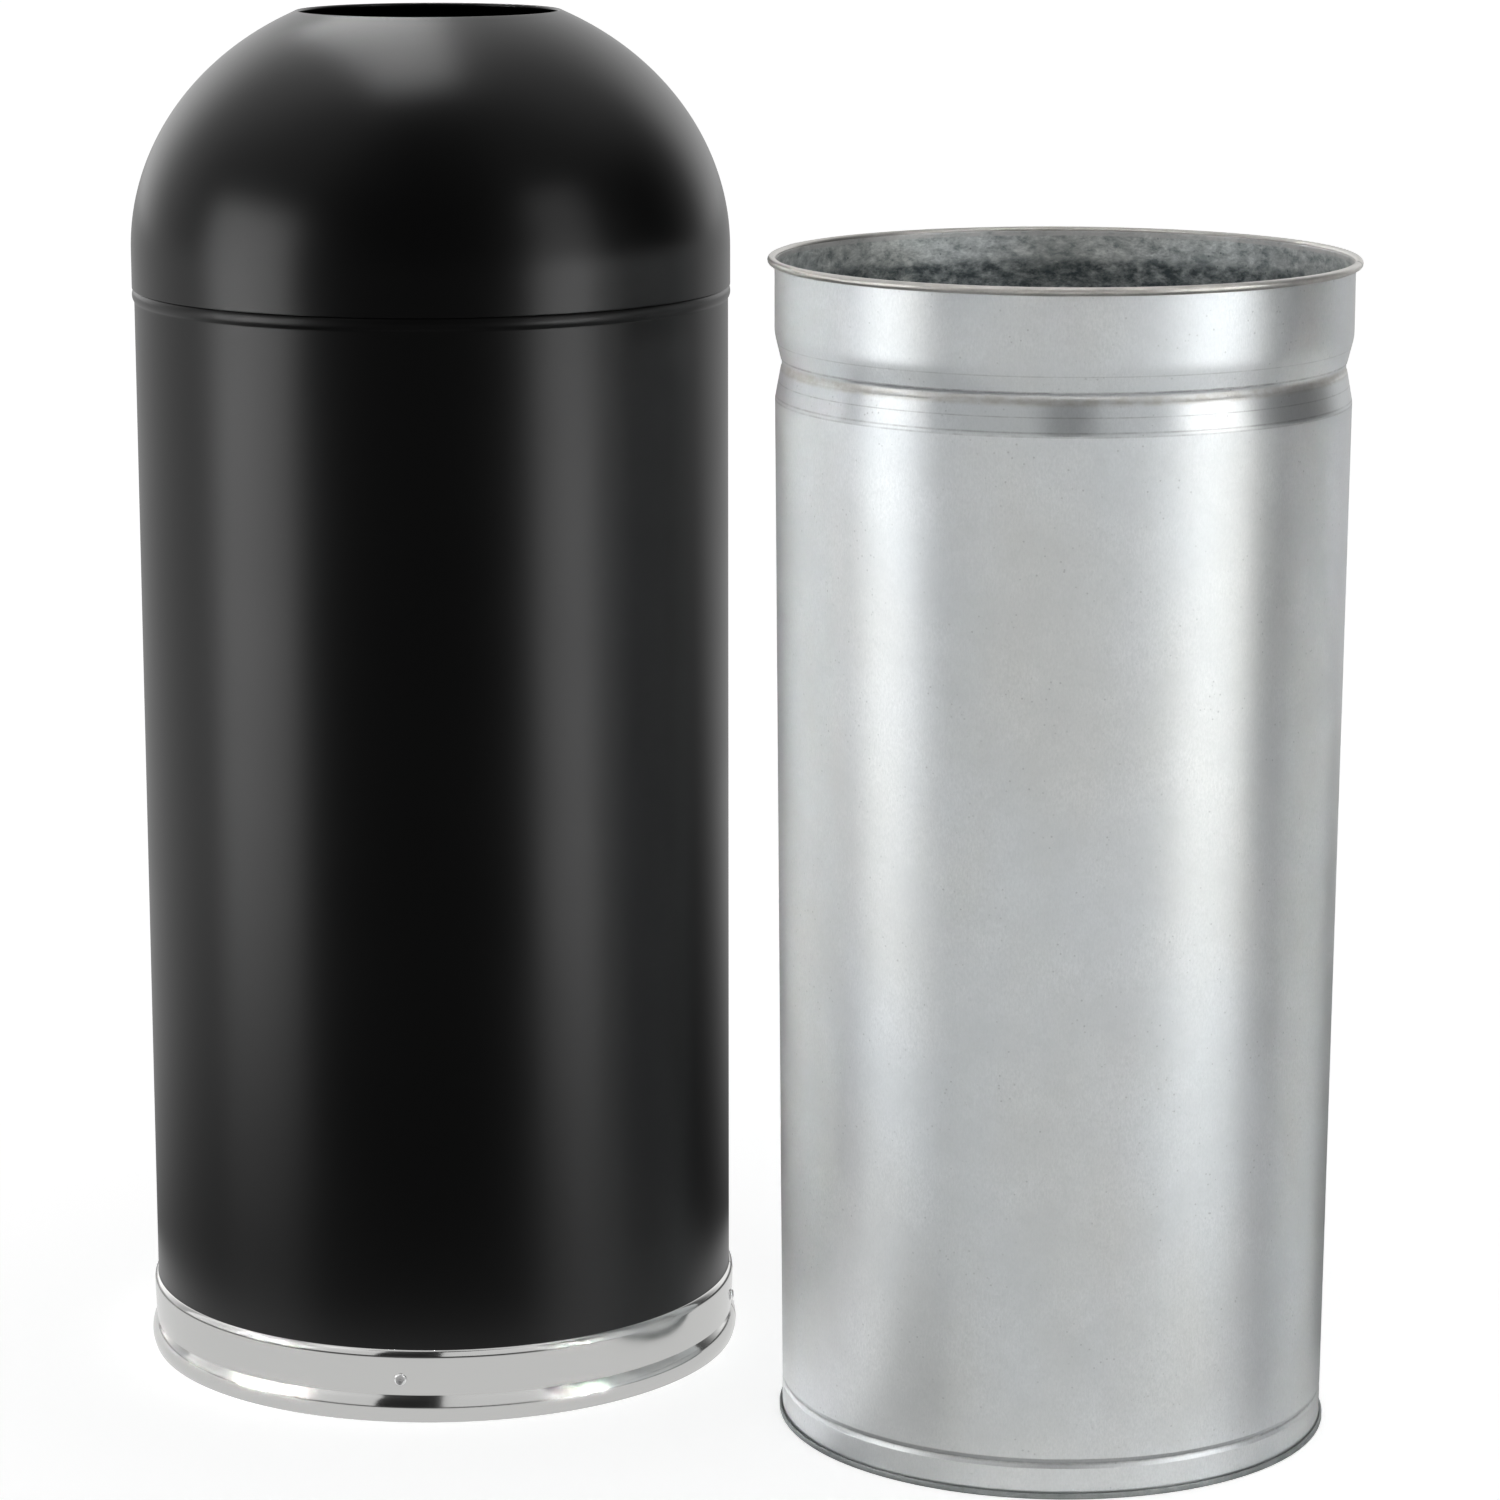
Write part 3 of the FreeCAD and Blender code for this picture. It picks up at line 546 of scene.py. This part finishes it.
def startTree(name, sizes):
    # a geometry tree with a named input for each size
    tree = bpy.data.node_groups.new(name, "GeometryNodeTree")
    tree.is_modifier = True
    tree.interface.new_socket("Geometry", in_out="INPUT", socket_type="NodeSocketGeometry")
    for size, value in sizes.items():
        kind = "NodeSocketInt" if isinstance(value, int) else "NodeSocketFloat"
        tree.interface.new_socket(size, in_out="INPUT", socket_type=kind)
    tree.interface.new_socket("Geometry", in_out="OUTPUT", socket_type="NodeSocketGeometry")
    entry = tree.nodes.new("NodeGroupInput")
    return tree, entry.outputs


def endTree(tree, geometry, material):
    real = addNode(tree, "GeometryNodeRealizeInstances", {"Geometry": geometry})
    dressed = addNode(tree, "GeometryNodeSetMaterial", {"Geometry": real.outputs[0], "Material": material})
    leave = tree.nodes.new("NodeGroupOutput")
    tree.links.new(dressed.outputs[0], leave.inputs[0])


def growTree(piece, tree, sizes):
    # runs the tree on a piece and keeps the result as a plain mesh
    modifier = piece.modifiers.new(tree.name, "NODES")
    modifier.node_group = tree
    for item in tree.interface.items_tree:
        if item.item_type == "SOCKET" and item.in_out == "INPUT" and item.name in sizes:
            modifier[item.identifier] = sizes[item.name]
    grown = bpy.data.meshes.new_from_object(piece.evaluated_get(bpy.context.evaluated_depsgraph_get()))
    piece.modifiers.remove(modifier)
    piece.data = grown
    return piece


def tidyMesh(piece, creaseAngle=38):
    mesh = bmesh.new()
    mesh.from_mesh(piece.data)
    bmesh.ops.remove_doubles(mesh, verts=mesh.verts, dist=1e-7)
    bmesh.ops.recalc_face_normals(mesh, faces=mesh.faces)
    for face in mesh.faces:
        face.smooth = True
    mesh.to_mesh(piece.data)
    mesh.free()
    piece.data.set_sharp_from_angle(angle=math.radians(creaseAngle))
    return piece


def outlineObject(name, loop):
    # a closed line in the XY plane, for a tree to sweep
    mesh = bmesh.new()
    spots = [mesh.verts.new((across * mm, -up * mm, 0.0)) for across, up in loop]
    for index, spot in enumerate(spots):
        mesh.edges.new((spot, spots[(index + 1) % len(spots)]))
    data = bpy.data.meshes.new(name)
    mesh.to_mesh(data)
    mesh.free()
    piece = bpy.data.objects.new(name, data)
    scene.collection.objects.link(piece)
    return piece


def sweepTree(name, sizes, material):
    # sweeps the outline along a level arc about an upright axis
    tree, size = startTree(name, sizes)
    section = addNode(tree, "GeometryNodeMeshToCurve", {"Mesh": size["Geometry"]})
    path = addNode(tree, "GeometryNodeCurveArc", {
        "Resolution": size["Steps"], "Radius": size["Path radius"],
        "Start Angle": size["Start"], "Sweep Angle": size["Sweep"]})
    upright = addNode(tree, "GeometryNodeSetCurveNormal", {"Curve": path.outputs[0]}, mode="Z_UP")
    swept = addNode(tree, "GeometryNodeCurveToMesh", {
        "Curve": upright.outputs[0], "Profile Curve": section.outputs[0], "Fill Caps": True})
    place = addNode(tree, "ShaderNodeCombineXYZ", {0: size["Axis X"], 1: size["Axis Y"], 2: size["Height"]})
    moved = addNode(tree, "GeometryNodeTransform", {
        "Geometry": swept.outputs[0], "Translation": place.outputs[0]})
    endTree(tree, moved.outputs[0], material)
    return tree


# base ring: formed strip, swept round the foot, its ends a small gap apart, beside a rivet

ringSizes = {"lip": 190.6, "lipHeight": 47.5, "bandTop": 42.5, "shoulder": 193.0,
             "waist": 192.1, "waistHeight": 17.5, "footHeight": 7.5, "foot": 195.1, "flange": 183.5,
             "wall": 0.9, "middle": 190.5, "endTurn": -1.4, "endGap": 0.35, "steps": 360}


def ringSection(s):
    lipReach = s["shoulder"] - s["lip"]
    drop = s["lipHeight"] - s["bandTop"]
    shoulderArc = (lipReach ** 2 + drop ** 2) / (2 * lipReach)
    bulge, span = s["foot"] - s["waist"], s["waistHeight"] - s["footHeight"]
    footArc = (bulge ** 2 + span ** 2) / (2 * bulge)
    centre = s["foot"] - footArc
    wall = s["wall"]
    sole = centre + math.sqrt(footArc ** 2 - s["footHeight"] ** 2)
    innerArc = footArc - wall
    insole = centre + math.sqrt(innerArc ** 2 - (s["footHeight"] - wall) ** 2)
    innerWaist = centre + math.sqrt(innerArc ** 2 - span ** 2)
    innerShoulder = shoulderArc - wall
    lipRise = math.sqrt(innerShoulder ** 2 - (shoulderArc - lipReach) ** 2)
    lip, lipInner = (s["lip"], s["lipHeight"]), (s["lip"], s["bandTop"] + lipRise)
    bandInner = (s["shoulder"] - wall, s["bandTop"])
    loop = [lip, lipInner, *arc(lipInner, bandInner, innerShoulder, -1, 6), bandInner,
            (innerWaist, s["waistHeight"]),
            *arc((innerWaist, s["waistHeight"]), (insole, wall), innerArc, -1, 8), (insole, wall),
            (s["flange"], wall), (s["flange"], 0.0), (sole, 0.0),
            *arc((sole, 0.0), (s["waist"], s["waistHeight"]), footArc, 1, 12), (s["waist"], s["waistHeight"]),
            (s["shoulder"], s["bandTop"]),
            *arc((s["shoulder"], s["bandTop"]), lip, shoulderArc, 1, 8)]
    return holdFlats(roundCorners(loop, 0.28, sharpest=12), longest=4.0, margin=0.5)


ringLoop = [(across - ringSizes["middle"], up) for across, up in ringSection(ringSizes)]
ringSweep = {"Path radius": ringSizes["middle"] * mm, "Start": math.radians(ringSizes["endTurn"]),
             "Sweep": math.radians(360.0 - ringSizes["endGap"]), "Steps": ringSizes["steps"],
             "Axis X": binAxis[0], "Axis Y": binAxis[1], "Height": 0.0}
ring = outlineObject("bin_base_ring", ringLoop)
growTree(ring, sweepTree("sweep_base_ring", ringSweep, brightRing), ringSweep)
tidyMesh(ring, 30)
settle(ring, "bin_body", "ring_chrome", "base_ring")


# rivets: domed head with the hollow that the mandrel leaves

rivetSizes = {"seat": 192.63, "head": 8.4, "crown": 1.5, "rim": 6.5, "dish": 4.8, "dishDepth": 0.42,
              "dimple": 2.6, "dimpleDepth": 0.9, "shank": 4.8,
              "tailSeat": 188.3, "tail": 6.6, "tailLength": 5.0, "steps": 40}


def makeRivet(s):
    # one rivet lying along +X, measured from the bin's axis
    radius, half = s["head"] / 2, s["dimple"] / 2
    crownTop = s["seat"] + s["crown"]
    start, rim = (radius, s["seat"] + 0.25), (s["rim"] / 2, crownTop - 0.05)
    dish, floor = s["dish"] / 2, crownTop - s["dishDepth"]
    section = [(0.0, s["tailSeat"] - s["tailLength"]), (s["tail"] / 2, s["tailSeat"] - s["tailLength"]),
               (s["tail"] / 2, s["tailSeat"]), (s["shank"] / 2, s["tailSeat"]), (s["shank"] / 2, s["seat"]),
               (radius, s["seat"]), start, *arc(start, rim, radius * 0.6, 1, 8), rim,
               (s["rim"] / 2 - 0.25, crownTop), (dish, floor), (half, floor),
               (half, crownTop - s["dimpleDepth"]),
               (half * 0.5, crownTop - s["dimpleDepth"] - 0.15), (0.0, crownTop - s["dimpleDepth"] + 0.1)]
    section = roundCorners(section, 0.22, closed=False, sharpest=30)
    mesh = bmesh.new()
    spinSection(mesh, (0.0, 0.0), section, roundAngles(s["steps"]), closed=False)
    for vertex in mesh.verts:
        vertex.co = (vertex.co.z, vertex.co.x, vertex.co.y)
    return finishPiece(mesh, "bin_ring_rivets", [brightRivet], 40)


def rivetTree(sizes, material):
    tree, size = startTree("rivets_round_ring", sizes)
    points = addNode(tree, "GeometryNodeMeshCircle", {"Vertices": size["Count"], "Radius": 0.001})
    outward = tree.nodes.new("GeometryNodeInputPosition")
    turned = addNode(tree, "FunctionNodeAlignRotationToVector", {"Vector": outward.outputs[0]},
                     axis="X", pivot_axis="Z")
    copies = addNode(tree, "GeometryNodeInstanceOnPoints", {
        "Points": points.outputs[0], "Instance": size["Geometry"], "Rotation": turned.outputs[0]})
    origin = addNode(tree, "GeometryNodeInputPosition")
    back = addNode(tree, "ShaderNodeVectorMath", {0: origin.outputs[0], "Scale": -1.0}, operation="SCALE")
    gathered = addNode(tree, "GeometryNodeSetPosition", {
        "Geometry": copies.outputs[0], "Offset": back.outputs[0]})
    place = addNode(tree, "ShaderNodeCombineXYZ", {0: size["Axis X"], 1: size["Axis Y"], 2: size["Height"]})
    spin = addNode(tree, "ShaderNodeCombineXYZ", {2: size["First"]})
    moved = addNode(tree, "GeometryNodeTransform", {
        "Geometry": gathered.outputs[0], "Translation": place.outputs[0], "Rotation": spin.outputs[0]})
    endTree(tree, moved.outputs[0], material)
    return tree


rivetLayout = {"Count": 4, "First": math.radians(-5.0), "Height": 28.0 * mm,
               "Axis X": binAxis[0], "Axis Y": binAxis[1]}
rivets = makeRivet(rivetSizes)
growTree(rivets, rivetTree(rivetLayout, brightRivet), rivetLayout)
settle(tidyMesh(rivets, 40), "bin_body", "rivet_metal", "base_ring_rivets")


# liner: rolled, slightly tapered wall with its groove, rolled rim and folded seam

linerSizes = {"wall": 0.8, "gap": 0.1, "foot": 171.0, "seamReach": 2.0,
              "shoulder": 176.6, "shoulderHeight": 650.0, "neck": 177.0,
              "neckTrim": 3.6, "grooveTop": 690.0, "crease": 173.2, "creaseHeight": 671.5,
              "creaseHalf": 3.0, "creaseArc": 6.0,
              "ribHeight": 22.0, "ribHalf": 3.0, "ribDepth": 1.3, "curlHeight": 734.4, "curl": 2.6,
              "lockTurn": 155.0, "lockWidth": 8.0, "lockReach": 0.8, "lockLow": 34.0, "lockHigh": 641.0,
              "splitFrom": -12.32, "splitTo": -11.68, "steps": 320}


def wallRadius(s, height):
    return s["foot"] + (s["shoulder"] - s["foot"]) * height / s["shoulderHeight"]


def makeLiner(s):
    wall = s["wall"]
    low, flangeTop = wall + s["gap"], 2 * wall + s["gap"]
    flange = s["foot"] + s["seamReach"] - wall - s["gap"]
    creaseLow, creaseTop = s["creaseHeight"] - s["creaseHalf"], s["creaseHeight"] + s["creaseHalf"]
    ribLow, ribTop = s["ribHeight"] - s["ribHalf"], s["ribHeight"] + s["ribHalf"]

    def neckBend(shift):
        # the groove's upper slope runs softly into the upright neck
        fall, drop = s["neck"] - s["crease"], s["grooveTop"] - creaseTop
        slope = math.hypot(fall, drop)
        across = s["neck"] - shift
        start = (across - fall / slope * s["neckTrim"], s["grooveTop"] - drop / slope * s["neckTrim"])
        end = (across, s["grooveTop"] + s["neckTrim"])
        radius = s["neckTrim"] / math.tan(math.atan2(fall, drop) / 2)
        return [start, *arc(start, end, radius, 1, 8), end]

    def sides(shift):
        lowCrease, highCrease = (s["crease"] - shift, creaseLow), (s["crease"] - shift, creaseTop)
        lockEnds = [(wallRadius(s, height) - shift, height + step)
                    for height in (s["lockLow"], s["lockHigh"]) for step in (-0.5, 0.5)]
        return [(wallRadius(s, ribLow) - shift, ribLow),
                (wallRadius(s, s["ribHeight"]) - s["ribDepth"] - shift, s["ribHeight"]),
                (wallRadius(s, ribTop) - shift, ribTop),
                *lockEnds, (s["shoulder"] - shift, s["shoulderHeight"]), lowCrease,
                *arc(lowCrease, highCrease, s["creaseArc"], -1, 6), highCrease, *neckBend(shift)]

    outside, inside = sides(0.0), sides(wall)
    foot = [(s["foot"] - wall, low), (flange, low), (flange, flangeTop), (s["foot"], flangeTop)]
    top = [(s["neck"], s["curlHeight"]), (s["neck"] - wall, s["curlHeight"])]
    section = holdFlats(roundCorners(foot + outside + top + inside[::-1], 1.0, sharpest=4), longest=5.0)
    lockEnd = s["lockTurn"] + math.degrees(s["lockWidth"] / s["foot"])
    lockAngles = [turn + step for turn in (s["lockTurn"], lockEnd) for step in (-0.12, 0.0, 0.12)]

    def sideSeam(angle, radius, height):
        if radius < wallRadius(s, height) - 0.3 or not s["lockLow"] - 1 < height < s["lockHigh"] + 1:
            return 0.0
        return (s["lockReach"] * window(angle, s["lockTurn"] + 0.12, lockEnd - 0.12, 0.14)
                * window(height, s["lockLow"] + 0.5, s["lockHigh"] - 0.5, 0.9))

    corners = [(s["foot"], 0.0)] + outside + top[:1]

    def wallAt(height):
        for below, above in zip(corners, corners[1:]):
            if below[1] <= height <= above[1] and above[1] > below[1]:
                return below[0] + (above[0] - below[0]) * (height - below[1]) / (above[1] - below[1])
        return s["neck"]

    def sheetSide(index, here, there):
        # slot 1, the inside finish, for faces of the inner side
        middle, height = (here[0] + there[0]) / 2, (here[1] + there[1]) / 2
        return 1 if middle < wallAt(height) - wall * 0.5 else 0

    mesh = bmesh.new()
    spinSection(mesh, linerAxis, section, roundAngles(s["steps"], lockAngles), sideSeam, material=sheetSide)
    curlAcross = s["neck"] - wall + s["curl"]

    def curlArc(radius, angles):
        return [(curlAcross + radius * math.cos(math.radians(a)),
                 s["curlHeight"] + radius * math.sin(math.radians(a))) for a in angles]

    outerCurl = curlArc(s["curl"], range(180, -121, -15))
    innerCurl = curlArc(s["curl"] - wall, range(-120, 181, 15))

    def rimLap(angle, radius, height):
        # the rim is a little thicker where the side seam runs into it
        return 0.45 * window(angle, s["lockTurn"] - 0.4, lockEnd + 0.8, 0.5) if radius > curlAcross else 0.0

    turns = roundAngles(s["steps"], [s["lockTurn"] + step for step in (-0.9, -0.4, 3.5, 4.0)],
                        s["splitTo"], 360.0 - (s["splitTo"] - s["splitFrom"]))
    rimLoop = roundCorners(outerCurl + innerCurl, 0.25, sharpest=50)
    # slot 2 is the rolled rim's own finish
    spinSection(mesh, linerAxis, rimLoop, turns, rimLap, whole=False, material=lambda *faces: 2)
    return finishPiece(mesh, "liner_can_wall", [galvanisedSheet, galvanisedInside, rolledRim], 34)


settle(makeLiner(linerSizes), "liner", "galvanised_sheet", "liner_wall")


# wire inside the rolled rim
wireSizes = {"across": 178.8, "height": 734.4, "radius": 1.4, "corners": 20,
             "endTurn": -160.0, "endGap": 0.1, "steps": 240}
wireAngles = [math.tau * k / wireSizes["corners"] for k in range(wireSizes["corners"])]
wireLoop = [(wireSizes["radius"] * math.cos(angle), wireSizes["radius"] * math.sin(angle))
            for angle in wireAngles]
wireSweep = {"Path radius": wireSizes["across"] * mm, "Start": math.radians(wireSizes["endTurn"]),
             "Sweep": math.radians(360.0 - wireSizes["endGap"]), "Steps": wireSizes["steps"],
             "Axis X": linerAxis[0], "Axis Y": linerAxis[1], "Height": wireSizes["height"] * mm}
wire = outlineObject("liner_rim_core", wireLoop)
growTree(wire, sweepTree("sweep_rim_wire", wireSweep, drawnWire), wireSweep)
settle(tidyMesh(wire), "liner", "wire_steel", "liner_rim_wire")


# pressed bottom, its edge folded round the wall
bottomSizes = {"foot": 171.0, "reach": 2.0, "crevice": 0.5, "wall": 0.8, "gap": 0.1,
               "height": 4.0, "floor": 6.0, "steps": 320}


def makeLinerBottom(s):
    wall = s["wall"]
    inner = s["foot"] - 2 * wall - s["gap"]
    outer = s["foot"] + s["reach"]
    section = [(0.0, s["floor"]), (inner, s["floor"]), (inner, 0.0), (outer, 0.0), (outer, s["height"]),
               (s["foot"] + s["crevice"], s["height"]), (s["foot"] + s["crevice"], s["height"] - wall),
               (outer - wall, s["height"] - wall), (outer - wall, wall), (inner + wall, wall),
               (inner + wall, s["floor"] + wall), (0.0, s["floor"] + wall)]
    section = holdFlats(roundCorners(section, 0.7, closed=False), closed=False)
    mesh = bmesh.new()
    spinSection(mesh, linerAxis, section, roundAngles(s["steps"]), closed=False)
    return finishPiece(mesh, "liner_can_bottom", [galvanisedFoot])


settle(makeLinerBottom(bottomSizes), "liner", "galvanised_foot", "liner_bottom")


# floor, light and camera

studio = {"floorSide": 30.0, "floorBack": 60.0, "floorColour": 0.80, "floorPaintedGlow": 0.80,
          "floorLift": 0.66, "worldFill": 0.60,
          "around": [(-180, 1.1), (-146, 1.8), (-118, 0.70), (-98, 0.34), (-60, 0.20), (-34, 0.04), (0, 0.03),
                     (30, 0.04), (48, 0.12), (76, 0.05), (104, 0.01), (122, 0.14), (146, 1.5), (180, 1.1)],
          "above": [(-180, 1.1), (-120, 0.95), (-60, 0.40), (-20, 0.10), (0, 0.04), (20, 0.08), (60, 0.24),
                    (120, 0.62), (180, 1.1)]}

softBoxes = [
    # name, pieces that it lights, centre, aim, width, length, brightness
    ("bin_box_left", "bin", (-2.33, -0.82, 0.62), (-0.19, 0.07, 0.62), 1.50, 1.85, 2.6),
    ("bin_box_right", "bin", (1.87, -1.43, 0.13), (-0.19, 0.07, 0.13), 1.10, 1.10, 2.75),
    ("bin_box_right_high", "bin", (1.87, -1.43, 1.40), (-0.19, 0.07, 1.40), 1.05, 1.6, 1.05),
    ("bin_box_top", "bin", (-0.62, 1.10, 3.1), (-0.45, 0.30, 0.8), 1.0, 2.9, 3.0),
    ("ring_box_left", "ring", (-1.95, -2.24, 1.7), (-0.19, 0.07, 1.7), 1.53, 3.36, 0.78),
    ("ring_box_right", "ring", (0.97, -2.59, 1.7), (-0.19, 0.07, 1.7), 2.28, 3.36, 0.78),
    ("ring_side_left", "ring", (-3.17, -0.30, 1.7), (-0.19, 0.07, 1.7), 3.4, 3.36, 0.62),
    ("ring_box_top", "ring", (-0.19, -1.0, 2.4), (-0.19, 0.0, 0.03), 4.0, 1.0, 0.7),
    ("ring_low_left", "ring", (-2.75, 1.43, -0.12), (-0.19, 0.07, -0.12), 3.2, 0.5, 0.6),
    ("liner_box_left", "liner", (-2.2, -0.85, 0.70), (0.2, -0.09, 0.70), 1.2, 2.1, 1.9),
    ("liner_low_left", "liner", (-2.1, -1.05, -0.45), (0.2, -0.09, -0.45), 1.6, 0.6, 0.8),
    ("liner_box_right", "liner", (2.11, -1.26, 0.70), (0.2, -0.09, 0.70), 1.15, 2.1, 2.2),
    ("liner_low_right", "liner", (2.27, -0.93, -1.00), (0.2, -0.09, -1.00), 1.7, 1.2, 0.6),
    ("liner_low_behind", "liner", (2.47, 0.97, -0.33), (0.2, -0.09, -0.33), 1.6, 1.45, 0.75),
    ("liner_box_behind", "liner", (-2.2, 1.5, 0.68), (0.2, -0.09, 0.48), 2.4, 3.05, 1.1),
    ("liner_fill_low", "liner", (0.2, -3.6, -1.1), (0.2, -0.09, -1.1), 8.4, 4.1, 0.74),
    ("liner_fill_high_left", "liner", (-2.23, -3.6, 1.375), (-2.23, -0.09, 1.375), 3.54, 0.85, 0.74),
    ("liner_fill_high_right", "liner", (2.585, -3.6, 1.375), (2.585, -0.09, 1.375), 3.63, 0.85, 0.74),
    ("liner_box_top", "liner", (0.25, -1.0, 2.4), (0.2, 0.0, 0.7), 4.2, 1.0, 1.5),
]


def buildFloor(s):
    data = bpy.data.meshes.new("studio_floor")
    side, back = s["floorSide"], s["floorBack"]
    corners = [(-side, -side, 0.0), (side, -side, 0.0), (side, back, 0.0), (-side, back, 0.0)]
    data.from_pydata(corners, [], [(0, 1, 2, 3)])
    floor = bpy.data.objects.new("studio_floor", data)
    scene.collection.objects.link(floor)
    material = bpy.data.materials.new("floor_paper")
    material.use_nodes = True
    tree = material.node_tree
    tree.nodes.clear()
    rays = addNode(tree, "ShaderNodeLightPath")
    spot = addNode(tree, "ShaderNodeTexCoord").outputs["Object"]
    across = addNode(tree, "ShaderNodeSeparateXYZ", {"Vector": spot})

    def nearness(axis, far, close, low, high):
        away = addNode(tree, "ShaderNodeVectorMath", {0: spot, 1: (*axis, 0.0)}, operation="DISTANCE")
        return remap(tree, away.outputs["Value"], far, close, low, high, smooth=True)

    # painted reflection: the paper glows for glossy rays only, so the bright metal mirrors it brightest round
    # the bin's foot, and behind
    nearBin = nearness(binAxis, 0.38, 0.30, 0.08, 1.0)
    nearLiner = nearness(linerAxis, 0.30, 0.22, 0.0, 0.35)
    depth = calc(tree, "MULTIPLY_ADD", across.outputs[0], -0.55, across.outputs[1])
    behind = remap(tree, depth, -0.2, 1.4, 0.0, 0.8, smooth=True)
    near = calc(tree, "MAXIMUM", calc(tree, "MAXIMUM", nearBin, nearLiner), behind)
    paper = addNode(tree, "ShaderNodeBsdfDiffuse", {"Color": (s["floorColour"],) * 3 + (1.0,)})
    lift = addNode(tree, "ShaderNodeEmission", {
        "Strength": calc(tree, "MULTIPLY", rays.outputs["Is Camera Ray"], s["floorLift"])})
    paintedGlow = addNode(tree, "ShaderNodeEmission", {"Strength": calc(tree, "MULTIPLY", near, s["floorPaintedGlow"])})
    seen = addNode(tree, "ShaderNodeAddShader", {0: paper.outputs[0], 1: lift.outputs[0]})
    mirrored = addNode(tree, "ShaderNodeMixShader", {0: rays.outputs["Is Glossy Ray"],
                                                     1: seen.outputs[0], 2: paintedGlow.outputs[0]})
    addNode(tree, "ShaderNodeOutputMaterial", {"Surface": mirrored.outputs[0]})
    data.materials.append(material)


def levelRamp(tree, share, levels):
    # brightness by direction, from (angle, level) pairs; 0 is the front, 90 the right
    ramp = addNode(tree, "ShaderNodeValToRGB", {"Fac": share})
    ramp.color_ramp.interpolation = "EASE"
    while len(ramp.color_ramp.elements) < len(levels):
        ramp.color_ramp.elements.new(0.5)
    for element, (angle, level) in zip(ramp.color_ramp.elements, levels):
        element.position = angle / 360 + 0.5
    for element, (angle, level) in zip(ramp.color_ramp.elements, levels):
        element.color = (level, level, level, 1.0)
    return ramp.outputs[0]


def buildWorld(s):
    # white studio behind and at the sides, darker in front where the camera stands
    world = bpy.data.worlds.new("studio")
    scene.world = world
    world.use_nodes = True
    tree = world.node_tree
    tree.nodes.clear()
    rays = addNode(tree, "ShaderNodeLightPath")
    way = addNode(tree, "ShaderNodeTexCoord").outputs["Generated"]
    parts = addNode(tree, "ShaderNodeSeparateXYZ", {"Vector": way}).outputs
    turn = calc(tree, "ARCTAN2", parts[0], calc(tree, "MULTIPLY", parts[1], -1.0))
    share = calc(tree, "MULTIPLY_ADD", turn, 1 / math.tau, 0.5)
    around = levelRamp(tree, share, s["around"])
    above = levelRamp(tree, share, s["above"])
    high = remap(tree, parts[2], 0.35, 0.85, 0.0, 1.0, smooth=True)
    mirrored = blendLevels(tree, high, around, above)
    level = blendLevels(tree, rays.outputs["Is Glossy Ray"], s["worldFill"], mirrored)
    level = blendLevels(tree, rays.outputs["Is Camera Ray"], level, 1.0)
    light = addNode(tree, "ShaderNodeBackground", {"Strength": level})
    addNode(tree, "ShaderNodeOutputWorld", {"Surface": light.outputs[0]})


def litGroup(name, start):
    # the pieces of one item, for the lamps that are its own
    group = bpy.data.collections.new(name)
    for item in scene.objects:
        if item.type == "MESH" and item.name.startswith(start):
            group.objects.link(item)
    return group


def addSoftBox(groups, name, item, centre, aim, width, length, brightness):
    # panel that faces one item and lights it alone; the bright ring mirrors the panels above the floor
    data = bpy.data.lights.new(name, "AREA")
    data.shape = "RECTANGLE"
    data.size, data.size_y = width, length
    data.energy = brightness * math.pi * width * length
    data.cycles.use_multiple_importance_sampling = item == "ring" and centre[2] > length / 2
    lamp = bpy.data.objects.new(name, data)
    lamp.location = centre
    lamp.rotation_euler = (Vector(aim) - Vector(centre)).to_track_quat("-Z", "Y").to_euler()
    lamp.visible_camera = False
    scene.collection.objects.link(lamp)
    lamp.light_linking.receiver_collection = groups[item]
    lamp.light_linking.blocker_collection = groups[item]


viewPoint = {"place": (0.0132, -3.097, 1.05), "lookDown": 0.2036, "lens": 118.4, "sensor": 36.0}


def addCamera(s):
    data = bpy.data.cameras.new("view")
    data.sensor_width = s["sensor"]
    data.lens = s["lens"]
    camera = bpy.data.objects.new("view", data)
    camera.location = s["place"]
    camera.rotation_euler = (math.radians(90) - s["lookDown"], 0.0, 0.0)
    scene.collection.objects.link(camera)
    scene.camera = camera


buildFloor(studio)
buildWorld(studio)
lit = {"bin": litGroup("bin_pieces", ("bin_", "dome_")),
       "ring": litGroup("ring_pieces", ("bin_base_ring", "bin_ring_rivets")),
       "liner": litGroup("liner_pieces", ("liner_can", "liner_rim_core"))}
for box in softBoxes:
    addSoftBox(lit, *box)
addCamera(viewPoint)
scene.view_settings.view_transform = "Standard"
print("studio ready")
